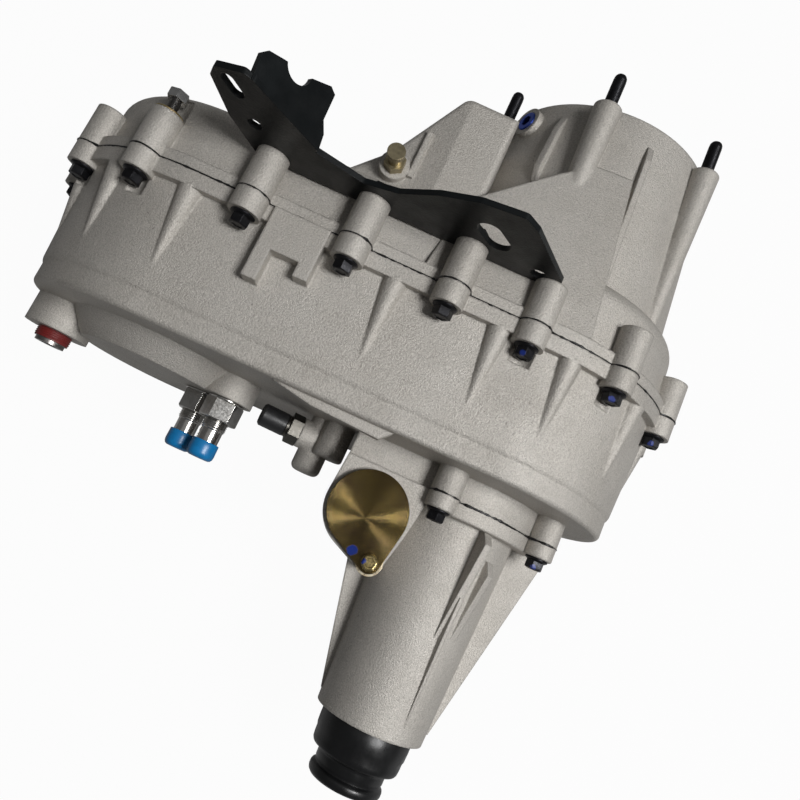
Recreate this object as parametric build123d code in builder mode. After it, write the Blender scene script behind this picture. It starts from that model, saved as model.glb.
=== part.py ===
from build123d import *
import os
from math import acos, atan2, cos, degrees, pi, radians, sin, sqrt, tan

# Transfer case for a four wheel drive truck, in millimetres.
# +X is forward, +Y is left, +Z is up. The origin is the centre of the stud circle
# on the front mounting face, so the main shaft turns about the X axis.

# Stations along the main shaft, from the mounting face
parting_x = -196.0
front_flange = 8.0
rear_flange = 11.0
front_boss_length = 30.0
rear_boss_length = 15.0
cover_face_x = -139.0
wall_end_x = -286.0
rim_end_x = -298.0
tail_seam_x = -317.0
tail_end_x = -485.0
sealant_gap = 0.5

# Case outline: two equal ends, one about each output
axle_spacing = 262.0
wall_radius = 112.0
flange_radius = 118.0
bolt_circle = 117.0
case_wall = 6.5
case_draft = 3.0

# Case bolts
case_boss_radius = 11.5
case_bolt_radius = 4.0
bolt_clearance = 0.3
thread_clearance = 0.05
bolt_head_flange = 8.6
bolt_head_across = 12.0
bolt_head_height = 6.5
bolt_head_dish = 0.6
main_bolt_angles = (82, 116, 155, 188, 222, 258)
left_bolt_angles = (71, 39, 9, -21, -52, -82)
top_bolt_shares = (0.29, 0.56, 0.84)
bottom_bolt_shares = (0.2, 0.5, 0.8)

# Neck and studs
neck_radius = 88.0
neck_draft = 4.0
stud_circle = 190.5
stud_count = 6
stud_turn = 74.1
stud_radius = 5.0
stud_seat_radius = 5.5
stud_length = 24.5
stud_depth = 20.0
stud_boss_radius = 11.0
stud_boss_setback = 7.0
stud_boss_length = 150.0

# Shafts and bearings
input_radius = 25.0
input_spline_bore = 16.0
input_end_x = -110.0
input_bearing_outer = 45.0
input_bearing_width = 20.0
input_bearing_x = -34.0
bearing_clearance = 0.03
main_shaft_radius = 20.0
pilot_radius = 12.0
pilot_length = 16.0
main_bearing_outer = 42.5
main_bearing_width = 19.0
front_shaft_radius = 17.5
front_bearing_outer = 36.0
front_bearing_width = 17.0

# Planetary set
gear_module = 2.25
sun_teeth = 30
planet_teeth = 12
planet_count = 4
gear_backlash = 0.3
gear_front_x = -66.0
gear_width = 24.0
planet_bore = 6.0
carrier_plate = 6.0
carrier_radius = 62.0
annulus_outer = 72.0

# Sleeves, sprockets and chain
spline_count = 12
spline_height = 3.0
spline_width = 5.0
spline_clearance = 0.15
end_spline_count = 14
end_spline_width = 1.5
output_spline_radius = 18.0
range_sleeve_x = -112.0
range_sleeve_length = 24.0
range_travel = 18.0
mode_sleeve_x = -196.0
mode_sleeve_length = 22.0
mode_travel = 10.0
sleeve_radius = 33.0
groove_depth = 4.0
groove_width = 9.0
fork_clearance = 0.4
sprocket_x = -222.0
sprocket_width = 32.0
sprocket_teeth = 35
sprocket_radius = 53.0
sprocket_tooth = 4.5
chain_gap = 0.8
chain_thickness = 9.0

# Shift gear
rail_y = 122.0
rail_z = 12.0
rail_radius = 7.5
rail_boss_radius = 11.5
rail_front_x = -76.0
rail_rear_x = -334.0
sector_x = -108.0
sector_z = -58.0
sector_shaft_radius = 8.0
sector_arm = 36.0
sector_pin_radius = 4.0
sector_plate = 5.0
lever_y = 174.0
lever_length = 62.0
lever_thickness = 5.0

# Tail housing
tail_radius = 50.0
tail_end_radius = 42.0
tail_wall = 6.5
tail_flange = 11.0
tail_bolt_circle = 71.0
tail_bolt_angles = (72, 152, 200, 248, 290, 328)
tail_boss_radius = 11.0
tail_bolt_radius = 4.0
tail_gusset = 27.0
gusset_width = 9.0
boot_length = 47.0

# Speedometer port
port_x = -349.0
port_y = 66.0
port_top = 64.0
port_radius = 31.0
plug_radius = 28.5
plug_height = 6.0
port_bolt_x = -380.0
port_bolt_y = 51.0

# Fittings
fitting_hex = 25.5
fitting_collar = 1.5
fitting_reach = 45.0
fitting_places = ((196.0, 24.0), (219.0, 5.0))
hub_face_x = -316.0
drain_y = 342.0
drain_z = 8.0
drain_boss_radius = 24.0
drain_end_x = -321.0
drain_plug_radius = 12.5

# Bracket
bracket_sheet = 4.0


def tube(front, rear, outer, inner=0.0, y=0.0, z=0.0):
    """A ring or bar about an axis along X, between two stations."""
    with BuildPart() as piece:
        with BuildSketch(Plane.YZ.offset(rear)):
            with Locations((y, z)):
                Circle(outer)
                if inner > 0:
                    Circle(inner, mode=Mode.SUBTRACT)
        extrude(amount=front - rear)
    return piece.part


def on_ring(radius, angle, y=0.0):
    return (y + radius * cos(radians(angle)), radius * sin(radians(angle)))


case_bolt_places = (
    [on_ring(bolt_circle, angle) for angle in main_bolt_angles]
    + [on_ring(bolt_circle, angle, axle_spacing) for angle in left_bolt_angles]
    + [(axle_spacing * share, bolt_circle + 5.0) for share in top_bolt_shares]
    + [(axle_spacing * share, -bolt_circle - 3.0) for share in bottom_bolt_shares]
)
stud_angles = [stud_turn + 360 / stud_count * k for k in range(stud_count)]
stud_places = [on_ring(stud_circle / 2, angle) for angle in stud_angles]
jack_place = case_bolt_places[len(main_bolt_angles)]
tail_bolt_places = [on_ring(tail_bolt_circle, angle) for angle in tail_bolt_angles]


def write(piece, name):
    piece.label = name
    export_step(piece, f"parts/{name}.step")


os.makedirs("parts", exist_ok=True)


def rearward(x):
    """A plane across the shaft that faces the rear; its own x is right, its y is up."""
    return Plane((x, 0, 0), x_dir=(0, -1, 0), z_dir=(-1, 0, 0))


def mirrored(places):
    return [(-y, z) for y, z in places]


def bar(direction_plane, radius, length, places=((0, 0),), inner=0.0):
    """Bars that start on a plane and run along its normal."""
    with BuildPart() as piece:
        with BuildSketch(direction_plane):
            with Locations(*places):
                Circle(radius)
                if inner > 0:
                    Circle(inner, mode=Mode.SUBTRACT)
        extrude(amount=length)
    return piece.part


def hexagon(direction_plane, across_flats, length, places=((0, 0),), turn=0.0):
    with BuildPart() as piece:
        with BuildSketch(direction_plane):
            with Locations(*places):
                RegularPolygon(across_flats / 2, 6, major_radius=False, rotation=turn)
        extrude(amount=length)
    return piece.part


# Front case
cover_wall_x = cover_face_x - case_wall
neck_cavity_x = input_bearing_x - 10.0
shoulder_top = 97.0
shoulder_bottom = -90.0
shoulder_nose_x = -48.0
shoulder_mid = (-107.0, 157.0)
shoulder_nose_y = 123.0
shoulder_end_y = 190.0
shoulder_start_y = 82.0
shoulder_ridge_y = 118.0
shoulder_fall = 12.0
shoulder_round = 8.0
shoulder_edge_round = 5.0
pocket_roof = 25.0
fork_passage_half = 34.0
jack_washer_radius = 10.5
vent_place = (-122.0, 150.0)
vent_boss_radius = 11.0
vent_thread = 4.0
shoulder_rib = (-86.0, -125.0)
shoulder_rib_y = 137.0
shoulder_rib_width = 4.0
seam_front = parting_x + sealant_gap / 2
seam_rear = parting_x - sealant_gap / 2
hub_front_x = -120.0
front_hub_radius = 46.0
front_seal_radius = 27.0
front_bearing_x = cover_wall_x + front_bearing_width
plateau_top = 116.0
plateau_slope = 8.0
plateau_points = (
    (-57.0, 17.0), (-55.0, -11.0), (-190.0, -22.0), (-190.0, 100.0), (-130.0, 92.0), (-119.0, 83.0),
    (-76.0, 40.0),
)
neck_rib_height = 5.0
neck_rib_width = 5.0
neck_rib_run = 12.0
neck_ribs_at = ((54.5, -15.0, -77.0), (100.0, -20.0, -174.0))
sector_boss_radius = 14.0
sector_boss_length = 80.0
sector_boss_end = lever_y - 2.0
rail_pocket_x = rail_front_x - 10.0
fork_hub_radius = 12.0
gear_room_x = gear_front_x - gear_width - 4.0

# Socket plug on its boss beside the neck
pipe_plug_x = -17.0
pipe_plug_angle = 34.5
pipe_plug_radius = 8.0
pipe_boss_radius = 12.0
pipe_boss_top = 94.0
pipe_boss_depth = 14.0
plug_out = Vector(0, cos(radians(pipe_plug_angle)), sin(radians(pipe_plug_angle)))
pipe_plug_seat = Plane(plug_out * pipe_boss_top + Vector(pipe_plug_x, 0, 0), x_dir=(1, 0, 0), z_dir=plug_out)


def radial_plane(angle):
    """A plane through the shaft axis; its x runs rearward and its y runs out at the angle."""
    return Plane((0, 0, 0), x_dir=(-1, 0, 0), z_dir=(0, sin(radians(angle)), -cos(radians(angle))))


def neck_rib(angle, start_x, end_x):
    """A rib along the neck, with the fall of its draft."""
    foot = neck_radius - start_x * tan(radians(neck_draft))
    end = neck_radius - end_x * tan(radians(neck_draft))
    with BuildPart() as piece:
        with BuildSketch(radial_plane(angle).offset(-neck_rib_width / 2)):
            with BuildLine():
                Polyline(
                    (-start_x, foot - neck_rib_height),
                    (-start_x, foot + 1),
                    (-start_x + neck_rib_run, foot + neck_rib_height),
                    (-end_x - neck_rib_run, end + neck_rib_height),
                    (-end_x, end + 1),
                    (-end_x, end - neck_rib_height),
                    close=True,
                )
            make_face()
        extrude(amount=neck_rib_width)
    return piece.part


with BuildPart() as cover:
    with BuildSketch(Plane.YZ.offset(seam_front)):
        with Locations((axle_spacing / 2, 0)):
            SlotCenterToCenter(axle_spacing, 2 * wall_radius)
    extrude(amount=cover_face_x - seam_front, taper=case_draft)
    fillet(cover.faces().sort_by(Axis.X)[-1].edges(), radius=14)

with BuildPart() as shoulder:
    with BuildSketch(Plane.XY.offset(shoulder_bottom)) as shoulder_plan:
        with BuildLine():
            Polyline(
                (shoulder_nose_x, shoulder_start_y),
                (shoulder_nose_x, shoulder_nose_y),
                shoulder_mid,
                (cover_face_x, shoulder_end_y),
                (seam_front, shoulder_end_y),
                (seam_front, shoulder_start_y),
                close=True,
            )
        make_face()
        fillet(shoulder_plan.vertices().group_by(Axis.X)[-1].sort_by(Axis.Y)[-1], radius=shoulder_round)
        fillet(
            shoulder_plan.vertices().filter_by(lambda v: abs(v.X - shoulder_mid[0]) < 1),
            radius=2 * shoulder_round,
        )
    extrude(amount=shoulder_top - shoulder_bottom)
    split(
        bisect_by=Plane(
            (seam_front, shoulder_ridge_y, shoulder_top), x_dir=(1, 0, 0),
            z_dir=(0, sin(radians(shoulder_fall)), cos(radians(shoulder_fall))),
        ),
        keep=Keep.BOTTOM,
    )
    fillet(
        shoulder.faces().filter_by(lambda f: f.normal_at().Z > 0.9).edges().filter_by(
            lambda e: abs(e.center().Y - shoulder_ridge_y) > 1 and e.center().X > seam_front + 1
        ),
        radius=shoulder_edge_round,
    )

with BuildPart() as plateau:
    with BuildSketch(Plane.XY.offset(neck_radius * 0.6)):
        with BuildLine():
            Polyline(*plateau_points, close=True)
        make_face()
    extrude(amount=plateau_top)
    split(
        bisect_by=Plane(
            (seam_front, 0, plateau_top), x_dir=(0, 1, 0),
            z_dir=(sin(radians(plateau_slope)), 0, cos(radians(plateau_slope))),
        ),
        keep=Keep.BOTTOM,
    )

with BuildPart() as front_case:
    with BuildSketch(rearward(0)):
        Circle(neck_radius)
    extrude(amount=-seam_front, taper=-neck_draft)
    with BuildSketch(rearward(-stud_boss_setback)):
        with Locations(*mirrored(stud_places)):
            Circle(stud_boss_radius)
    extrude(amount=stud_boss_length, taper=neck_draft / 2)
    for angle, start_x, end_x in neck_ribs_at:
        add(neck_rib(angle, start_x, end_x))
    add(cover.part)
    add(shoulder.part)
    with BuildSketch(Plane.XY.offset(shoulder_top - 1)):
        with Locations((sum(shoulder_rib) / 2, shoulder_rib_y)):
            Rectangle(shoulder_rib[0] - shoulder_rib[1], shoulder_rib_width)
    extrude(amount=-pocket_roof / 2)
    with BuildSketch(Plane.XY.offset(shoulder_top)):
        with Locations(vent_place):
            Circle(vent_boss_radius)
    extrude(amount=-pocket_roof / 2)
    add(plateau.part)
    add(bar(pipe_plug_seat, pipe_boss_radius, -pipe_boss_depth))
    add(tube(hub_front_x, cover_face_x, front_hub_radius, 0, axle_spacing))
    with BuildSketch(Plane.XZ.offset(-sector_boss_end)):
        with Locations((sector_x, sector_z)):
            Circle(sector_boss_radius)
    extrude(amount=sector_boss_length)
    with BuildSketch(Plane.YZ.offset(seam_front)):
        with Locations((axle_spacing / 2, 0)):
            SlotCenterToCenter(axle_spacing, 2 * flange_radius)
    extrude(amount=front_flange)
    with BuildSketch(Plane.YZ.offset(seam_front)):
        with Locations(*case_bolt_places):
            Circle(case_boss_radius)
    extrude(amount=front_boss_length)
    # Openings inside
    add(bar(pipe_plug_seat, pipe_plug_radius + thread_clearance, -pipe_boss_depth), mode=Mode.SUBTRACT)
    with BuildSketch(Plane.XY.offset(shoulder_top)):
        with Locations(vent_place):
            Circle(vent_thread + thread_clearance)
    extrude(amount=-case_wall, mode=Mode.SUBTRACT)
    with BuildSketch(Plane.YZ.offset(seam_front)):
        with Locations((axle_spacing / 2, 0)):
            SlotCenterToCenter(axle_spacing, 2 * (wall_radius - case_wall))
    extrude(amount=cover_wall_x - seam_front, taper=case_draft, mode=Mode.SUBTRACT)
    with BuildSketch(Plane.XY.offset(shoulder_bottom + case_wall)):
        with BuildLine():
            Polyline(
                (rail_pocket_x, shoulder_start_y + case_wall),
                (rail_pocket_x, rail_y + fork_hub_radius + 2),
                (shoulder_mid[0], shoulder_mid[1] - 2 * case_wall),
                (cover_face_x, shoulder_end_y - 2 * case_wall),
                (seam_front, shoulder_end_y - 2 * case_wall),
                (seam_front, shoulder_start_y + case_wall),
                close=True,
            )
        make_face()
    extrude(amount=shoulder_top - pocket_roof - shoulder_bottom - case_wall, mode=Mode.SUBTRACT)
    with BuildSketch(Plane.YZ.offset(seam_front)):
        with Locations(((annulus_outer + shoulder_start_y) / 2, 0)):
            Rectangle(6 * case_wall, 2 * fork_passage_half)
    extrude(amount=gear_room_x - seam_front, mode=Mode.SUBTRACT)
    add(tube(neck_cavity_x, seam_front, annulus_outer + bearing_clearance), mode=Mode.SUBTRACT)
    add(tube(0, input_bearing_x, input_bearing_outer + bearing_clearance), mode=Mode.SUBTRACT)
    add(tube(0, seam_front, input_bearing_outer - 5), mode=Mode.SUBTRACT)
    add(
        tube(front_bearing_x, cover_wall_x, front_bearing_outer + bearing_clearance, 0, axle_spacing),
        mode=Mode.SUBTRACT,
    )
    add(
        tube(hub_front_x, cover_wall_x, front_seal_radius + bearing_clearance, 0, axle_spacing),
        mode=Mode.SUBTRACT,
    )
    add(
        tube(rail_front_x, rail_pocket_x, rail_radius + bearing_clearance, 0, rail_y, rail_z),
        mode=Mode.SUBTRACT,
    )
    with BuildSketch(rearward(0)):
        with Locations(*mirrored(stud_places)):
            Circle(stud_seat_radius + thread_clearance)
    extrude(amount=stud_depth, mode=Mode.SUBTRACT)
    with BuildSketch(Plane.YZ.offset(seam_front)):
        with Locations(*case_bolt_places):
            Circle(case_bolt_radius + thread_clearance)
    extrude(amount=front_boss_length, mode=Mode.SUBTRACT)
    with BuildSketch(Plane.YZ.offset(seam_front + front_boss_length)):
        with Locations(jack_place):
            Circle(jack_washer_radius + 0.5)
    extrude(amount=20, mode=Mode.SUBTRACT)
    with BuildSketch(Plane.XZ.offset(-sector_boss_end)):
        with Locations((sector_x, sector_z)):
            Circle(sector_shaft_radius + bearing_clearance)
    extrude(amount=sector_boss_length, mode=Mode.SUBTRACT)

# Rear case
rim_radius = 106.0
main_hub_radius = 62.0
front_hub_rear_radius = 76.0
front_hub_slope = 38.0
cavity_end_x = wall_end_x - 4.0
front_rear_bearing_x = cavity_end_x - front_bearing_width
main_bearing_x = cavity_end_x - main_bearing_width - 2.0
wall_rib_height = 9.0
wall_rib_length = 68.0
wall_rib_angles = (36, 59, 98, 132, 172)
wall_rib_shares = (0.14, 0.43, 1.0)
lug_y = (164.0, 204.0)
lug_end_x = -248.0
lug_short_end_x = -235.0
lug_top = 121.0
lug_notch_width = 20.0
lug_notch_x = -225.0
ledge_points = ((-296.0, 172.0), (-303.5, 130.0), (-305.5, 80.0), (-296.0, 70.0))
ledge_top = 100.0
ledge_height = 8.0
rail_boss_round = 5.0
side_barrel = (110.0, 22.0)
side_barrel_radius = 12.0
side_barrel_end_x = -325.0
tail_hub_face = tail_seam_x + sealant_gap / 2
pad_right_y = 28.8
pad_boss_top = 58.0
port_bottom = -12.0

# Seat of the indicator switch, its axis out to the left from the rail boss
switch_x = -314.0
switch_foot = (switch_x, rail_y + rail_boss_radius, rail_z + 4)
switch_plane = Plane(switch_foot, x_dir=(1, 0, 0), z_dir=(0, 0.97, 0.24))
switch_boss_radius = 11.5
switch_boss_height = 4.0
switch_thread = 7.0
switch_depth = 6.0


def wall_gusset(plane):
    """A round-backed gusset on the wall that runs out rearward with the draft."""
    with BuildPart() as piece:
        with Locations(plane):
            Cone(wall_rib_height, 1.2, wall_rib_length, align=(Align.CENTER, Align.CENTER, Align.MIN))
    return piece.part


def gusset_plane(angle, y=0.0):
    """The start of a gusset on the wall, its normal running rearward and inward by the draft."""
    out = Vector(0, cos(radians(angle)), sin(radians(angle)))
    start = Vector(parting_x - rear_flange + 2, y, 0) + out * (wall_radius - 2.5)
    along = Vector(-1, 0, 0) * cos(radians(case_draft)) - out * sin(radians(case_draft))
    return Plane(start, z_dir=along)


gusset_planes = (
    [gusset_plane(angle) for angle in wall_rib_angles if angle > 95]
    + [gusset_plane(angle, axle_spacing) for angle in wall_rib_angles if angle < 90]
    + [gusset_plane(90, axle_spacing * share) for share in wall_rib_shares]
)

with BuildPart() as rear_wall_body:
    with BuildSketch(rearward(seam_rear)):
        with Locations((-axle_spacing / 2, 0)):
            SlotCenterToCenter(axle_spacing, 2 * wall_radius)
    extrude(amount=seam_rear - wall_end_x, taper=case_draft)
    fillet(rear_wall_body.faces().sort_by(Axis.X)[0].edges(), radius=9)

with BuildPart() as rail_boss:
    add(tube(rim_end_x + 4, rail_rear_x - 7, rail_boss_radius, 0, rail_y, rail_z))
    fillet(rail_boss.faces().sort_by(Axis.X)[0].edges(), radius=rail_boss_round)

with BuildPart() as side_boss:
    add(tube(rim_end_x + 4, side_barrel_end_x, side_barrel_radius, 0, *side_barrel))
    fillet(side_boss.faces().sort_by(Axis.X)[0].edges(), radius=rail_boss_round / 2)

with BuildPart() as rear_case:
    add(rear_wall_body.part)
    with BuildSketch(rearward(wall_end_x + 12)):
        with Locations((-axle_spacing / 2, 0)):
            SlotCenterToCenter(axle_spacing, 2 * rim_radius)
    extrude(amount=wall_end_x + 12 - rim_end_x)
    fillet(rear_case.faces().sort_by(Axis.X)[0].edges(), radius=3.5)
    with BuildSketch(rearward(rim_end_x + 2)):
        with Locations((-axle_spacing, 0)):
            Circle(front_hub_rear_radius)
    extrude(amount=rim_end_x + 2 - hub_face_x, taper=front_hub_slope)
    with BuildSketch(Plane.XY.offset(ledge_top)):
        with BuildLine():
            Polyline(*ledge_points, close=True)
        make_face()
    extrude(amount=-ledge_height)
    with BuildSketch(rearward(rim_end_x + 2)):
        Circle(main_hub_radius)
        with Locations(*mirrored(tail_bolt_places)):
            Circle(tail_boss_radius)
    extrude(amount=rim_end_x + 2 - tail_hub_face)
    with BuildSketch(rearward(rim_end_x + 2)):
        with Locations((-(pad_right_y + port_y + plug_radius) / 2, (pad_boss_top + port_bottom) / 2)):
            Rectangle(port_y + plug_radius - pad_right_y, pad_boss_top - port_bottom)
    extrude(amount=rim_end_x + 2 - tail_hub_face)
    add(rail_boss.part)
    add(side_boss.part)
    add(
        bar(switch_plane.offset(-switch_depth - 4), switch_boss_radius, switch_depth + 4 + switch_boss_height)
    )
    add(tube(rim_end_x + 12, drain_end_x, drain_boss_radius, 0, drain_y, drain_z))
    add(tube(rim_end_x + 4, hub_face_x, 19, 0, *fitting_places[0]))
    add(tube(rim_end_x + 4, hub_face_x, 19, 0, *fitting_places[1]))
    with BuildSketch(rearward(seam_rear)):
        with Locations((-axle_spacing / 2, 0)):
            SlotCenterToCenter(axle_spacing, 2 * flange_radius)
    extrude(amount=rear_flange)
    with BuildSketch(rearward(seam_rear)):
        with Locations(*mirrored(case_bolt_places)):
            Circle(case_boss_radius)
    extrude(amount=rear_boss_length)
    for plane in gusset_planes:
        add(wall_gusset(plane))
    with BuildSketch(rearward(seam_rear - rear_boss_length)):
        with Locations(*mirrored(case_bolt_places)):
            Circle(bolt_head_flange + 1)
    extrude(amount=12, mode=Mode.SUBTRACT)
    with BuildSketch(Plane.XY.offset(wall_radius - 14)):
        with BuildLine():
            Polyline(
                (seam_rear, lug_y[0]),
                (lug_short_end_x, lug_y[0]),
                (lug_short_end_x, (lug_y[0] + lug_y[1] - lug_notch_width) / 2),
                (lug_notch_x, (lug_y[0] + lug_y[1] - lug_notch_width) / 2),
                (lug_notch_x, (lug_y[0] + lug_y[1] + lug_notch_width) / 2),
                (lug_end_x, (lug_y[0] + lug_y[1] + lug_notch_width) / 2),
                (lug_end_x, lug_y[1]),
                (seam_rear, lug_y[1]),
                close=True,
            )
        make_face()
    extrude(amount=lug_top - wall_radius + 14)
    # Openings inside
    with BuildSketch(rearward(seam_rear)):
        with Locations((-axle_spacing / 2, 0)):
            SlotCenterToCenter(axle_spacing, 2 * (wall_radius - case_wall))
    extrude(amount=seam_rear - cavity_end_x, taper=case_draft, mode=Mode.SUBTRACT)
    add(tube(cavity_end_x, main_bearing_x, main_bearing_outer + bearing_clearance), mode=Mode.SUBTRACT)
    add(tube(cavity_end_x, tail_hub_face, main_bearing_outer - 6), mode=Mode.SUBTRACT)
    add(
        tube(cavity_end_x, front_rear_bearing_x, front_bearing_outer + bearing_clearance, 0, axle_spacing),
        mode=Mode.SUBTRACT,
    )
    add(
        tube(cavity_end_x, rail_rear_x, rail_radius + bearing_clearance, 0, rail_y, rail_z),
        mode=Mode.SUBTRACT,
    )
    with BuildSketch(rearward(seam_rear)):
        with Locations(*mirrored(case_bolt_places)):
            Circle(case_bolt_radius + bolt_clearance)
    extrude(amount=rear_boss_length, mode=Mode.SUBTRACT)
    with BuildSketch(Plane.YZ.offset(tail_hub_face)):
        with Locations(*tail_bolt_places):
            Circle(tail_bolt_radius + thread_clearance)
    extrude(amount=16, mode=Mode.SUBTRACT)
    add(
        tube(rim_end_x + 6, drain_end_x, drain_plug_radius + thread_clearance, 0, drain_y, drain_z),
        mode=Mode.SUBTRACT,
    )
    add(
        bar(switch_plane.offset(switch_boss_height), switch_thread + thread_clearance, -switch_depth),
        mode=Mode.SUBTRACT,
    )
    for place in fitting_places:
        add(tube(hub_face_x + 14, hub_face_x, 7 + thread_clearance, 0, *place), mode=Mode.SUBTRACT)

# Tail housing
tail_front = tail_seam_x - sealant_gap / 2
tail_flange_end = tail_front - tail_flange
tail_length = tail_flange_end - tail_end_x
port_bore = 19.0
port_ear_radius = 9.0
tail_bore = tail_end_radius - tail_wall
tail_rib_width = 6.0
tail_rib_run = 9.0
tail_draft = degrees(atan2(tail_radius - tail_end_radius, tail_length))
tail_ribs_at = ((110.0, tail_flange_end + 1, -409.0, 13.0), (127.0, -346.0, -406.0, 7.0))


def tail_rib(angle, start_x, end_x, height):
    """A rib on the tail that runs out rearward."""
    foot = tail_radius - (tail_flange_end - start_x) * tan(radians(tail_draft))
    end = tail_radius - (tail_flange_end - end_x) * tan(radians(tail_draft))
    with BuildPart() as piece:
        with BuildSketch(radial_plane(angle).offset(-tail_rib_width / 2)):
            with BuildLine():
                Polyline(
                    (-start_x, foot - tail_rib_width),
                    (-start_x, foot + height / 3),
                    (-start_x + tail_rib_run, foot + height),
                    (-end_x, end),
                    (-end_x, end - tail_rib_width),
                    close=True,
                )
            make_face()
        extrude(amount=tail_rib_width)
    return piece.part


with BuildPart() as tail_housing:
    with BuildSketch(rearward(tail_front)):
        Circle(main_hub_radius)
        with Locations(*mirrored(tail_bolt_places)):
            Circle(tail_boss_radius)
    extrude(amount=tail_flange)
    fillet(tail_housing.faces().sort_by(Axis.X)[0].edges(), radius=1.5)
    with BuildSketch(rearward(tail_flange_end + 2)):
        Circle(tail_radius)
    extrude(amount=tail_length + 2, taper=tail_draft)
    for side in (1, -1):
        with BuildSketch(Plane.XY.offset(-gusset_width / 2)):
            with BuildLine():
                Polyline(
                    (tail_flange_end + 1, 0),
                    (tail_flange_end + 1, side * (tail_radius + tail_gusset)),
                    (tail_end_x + 8, side * (tail_end_radius + 1)),
                    (tail_end_x + 8, 0),
                    close=True,
                )
            make_face()
        extrude(amount=gusset_width)
    with BuildSketch(Plane.XY.offset(port_bottom)):
        with Locations((port_x, port_y)):
            Circle(port_radius)
        with Locations((port_bolt_x, port_bolt_y)):
            Circle(port_ear_radius)
        with BuildLine():
            Polyline(
                (tail_front, pad_right_y), (tail_front, port_y + plug_radius), (port_x, port_y + plug_radius),
                close=True,
            )
        make_face()
        make_hull()
    extrude(amount=port_top - port_bottom)
    for angle, start_x, end_x, height in tail_ribs_at:
        add(tail_rib(angle, start_x, end_x, height))
    # Openings inside
    add(tube(tail_front, tail_end_x + 14, tail_bore), mode=Mode.SUBTRACT)
    add(tube(tail_front, tail_end_x, tail_bore - 4), mode=Mode.SUBTRACT)
    with BuildSketch(Plane.XY.offset(port_top)):
        with Locations((port_x, port_y)):
            Circle(port_bore)
    extrude(amount=-(port_top - port_bottom - 8), mode=Mode.SUBTRACT)
    with BuildSketch(Plane.XY.offset(port_top)):
        with Locations((port_bolt_x, port_bolt_y)):
            Circle(3 + thread_clearance)
    extrude(amount=-18, mode=Mode.SUBTRACT)
    with BuildSketch(rearward(tail_front)):
        with Locations(*mirrored(tail_bolt_places)):
            Circle(tail_bolt_radius + bolt_clearance)
    extrude(amount=tail_flange, mode=Mode.SUBTRACT)

write(front_case.part, "front_case")
write(rear_case.part, "rear_case")
write(tail_housing.part, "tail_housing")

# Joint between the case halves
with BuildPart() as case_sealant:
    with BuildSketch(Plane.YZ.offset(seam_rear)):
        with Locations((axle_spacing / 2, 0)):
            SlotCenterToCenter(axle_spacing, 2 * flange_radius + 1.2)
        with Locations(*case_bolt_places):
            Circle(case_boss_radius + 0.6)
        with Locations((axle_spacing / 2, 0)):
            SlotCenterToCenter(axle_spacing, 2 * (wall_radius - case_wall + 2), mode=Mode.SUBTRACT)
        with Locations(*case_bolt_places):
            Circle(case_bolt_radius + bolt_clearance + 0.3, mode=Mode.SUBTRACT)
    extrude(amount=sealant_gap)
write(case_sealant.part, "case_sealant")

# Flange-head bolts round the case and the tail housing
case_bolt_length = seam_front - seam_rear + rear_boss_length + 20.0


def flange_bolts(plane, places, radius, length):
    """Bolts whose heads stand on a plane, with the shank against its normal."""
    with BuildPart() as piece:
        with BuildSketch(plane):
            with Locations(*places):
                Circle(bolt_head_flange)
        extrude(amount=2.0)
        with BuildSketch(plane.offset(2.0)):
            with Locations(*places):
                RegularPolygon(bolt_head_across / 2, 6, major_radius=False)
        extrude(amount=bolt_head_height)
        with BuildSketch(plane):
            with Locations(*places):
                Circle(radius)
        extrude(amount=-length)
        with BuildSketch(plane.offset(2.0 + bolt_head_height)):
            with Locations(*places):
                Circle(bolt_head_across * 0.36)
        extrude(amount=-bolt_head_dish, mode=Mode.SUBTRACT)
    return piece.part


case_bolts = flange_bolts(
    rearward(seam_rear - rear_boss_length), mirrored(case_bolt_places), case_bolt_radius, case_bolt_length
)
write(case_bolts, "case_bolts")
tail_bolts = flange_bolts(
    rearward(tail_flange_end), mirrored(tail_bolt_places), tail_bolt_radius, tail_flange + sealant_gap + 14
)
write(tail_bolts, "tail_bolts")

with BuildPart() as tail_sealant:
    with BuildSketch(rearward(tail_hub_face)):
        Circle(main_hub_radius + 0.5)
        with Locations(*mirrored(tail_bolt_places)):
            Circle(tail_boss_radius + 0.5)
        Circle(main_bearing_outer - 4, mode=Mode.SUBTRACT)
        with Locations(*mirrored(tail_bolt_places)):
            Circle(tail_bolt_radius + bolt_clearance + 0.3, mode=Mode.SUBTRACT)
    extrude(amount=sealant_gap)
write(tail_sealant.part, "tail_sealant")

# Studs on the mounting face
with BuildPart() as input_studs:
    with BuildSketch(Plane.YZ.offset(-stud_depth + 1)):
        with Locations(*stud_places):
            Circle(stud_seat_radius)
    extrude(amount=stud_depth - 1 - stud_boss_setback)
    with BuildSketch(Plane.YZ.offset(-stud_depth + 1)):
        with Locations(*stud_places):
            Circle(stud_radius)
    extrude(amount=stud_depth - 1 + stud_length)
    chamfer(input_studs.faces().filter_by(Axis.X).group_by(Axis.X)[-1].edges(), length=1.2)
write(input_studs.part, "input_studs")

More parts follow.
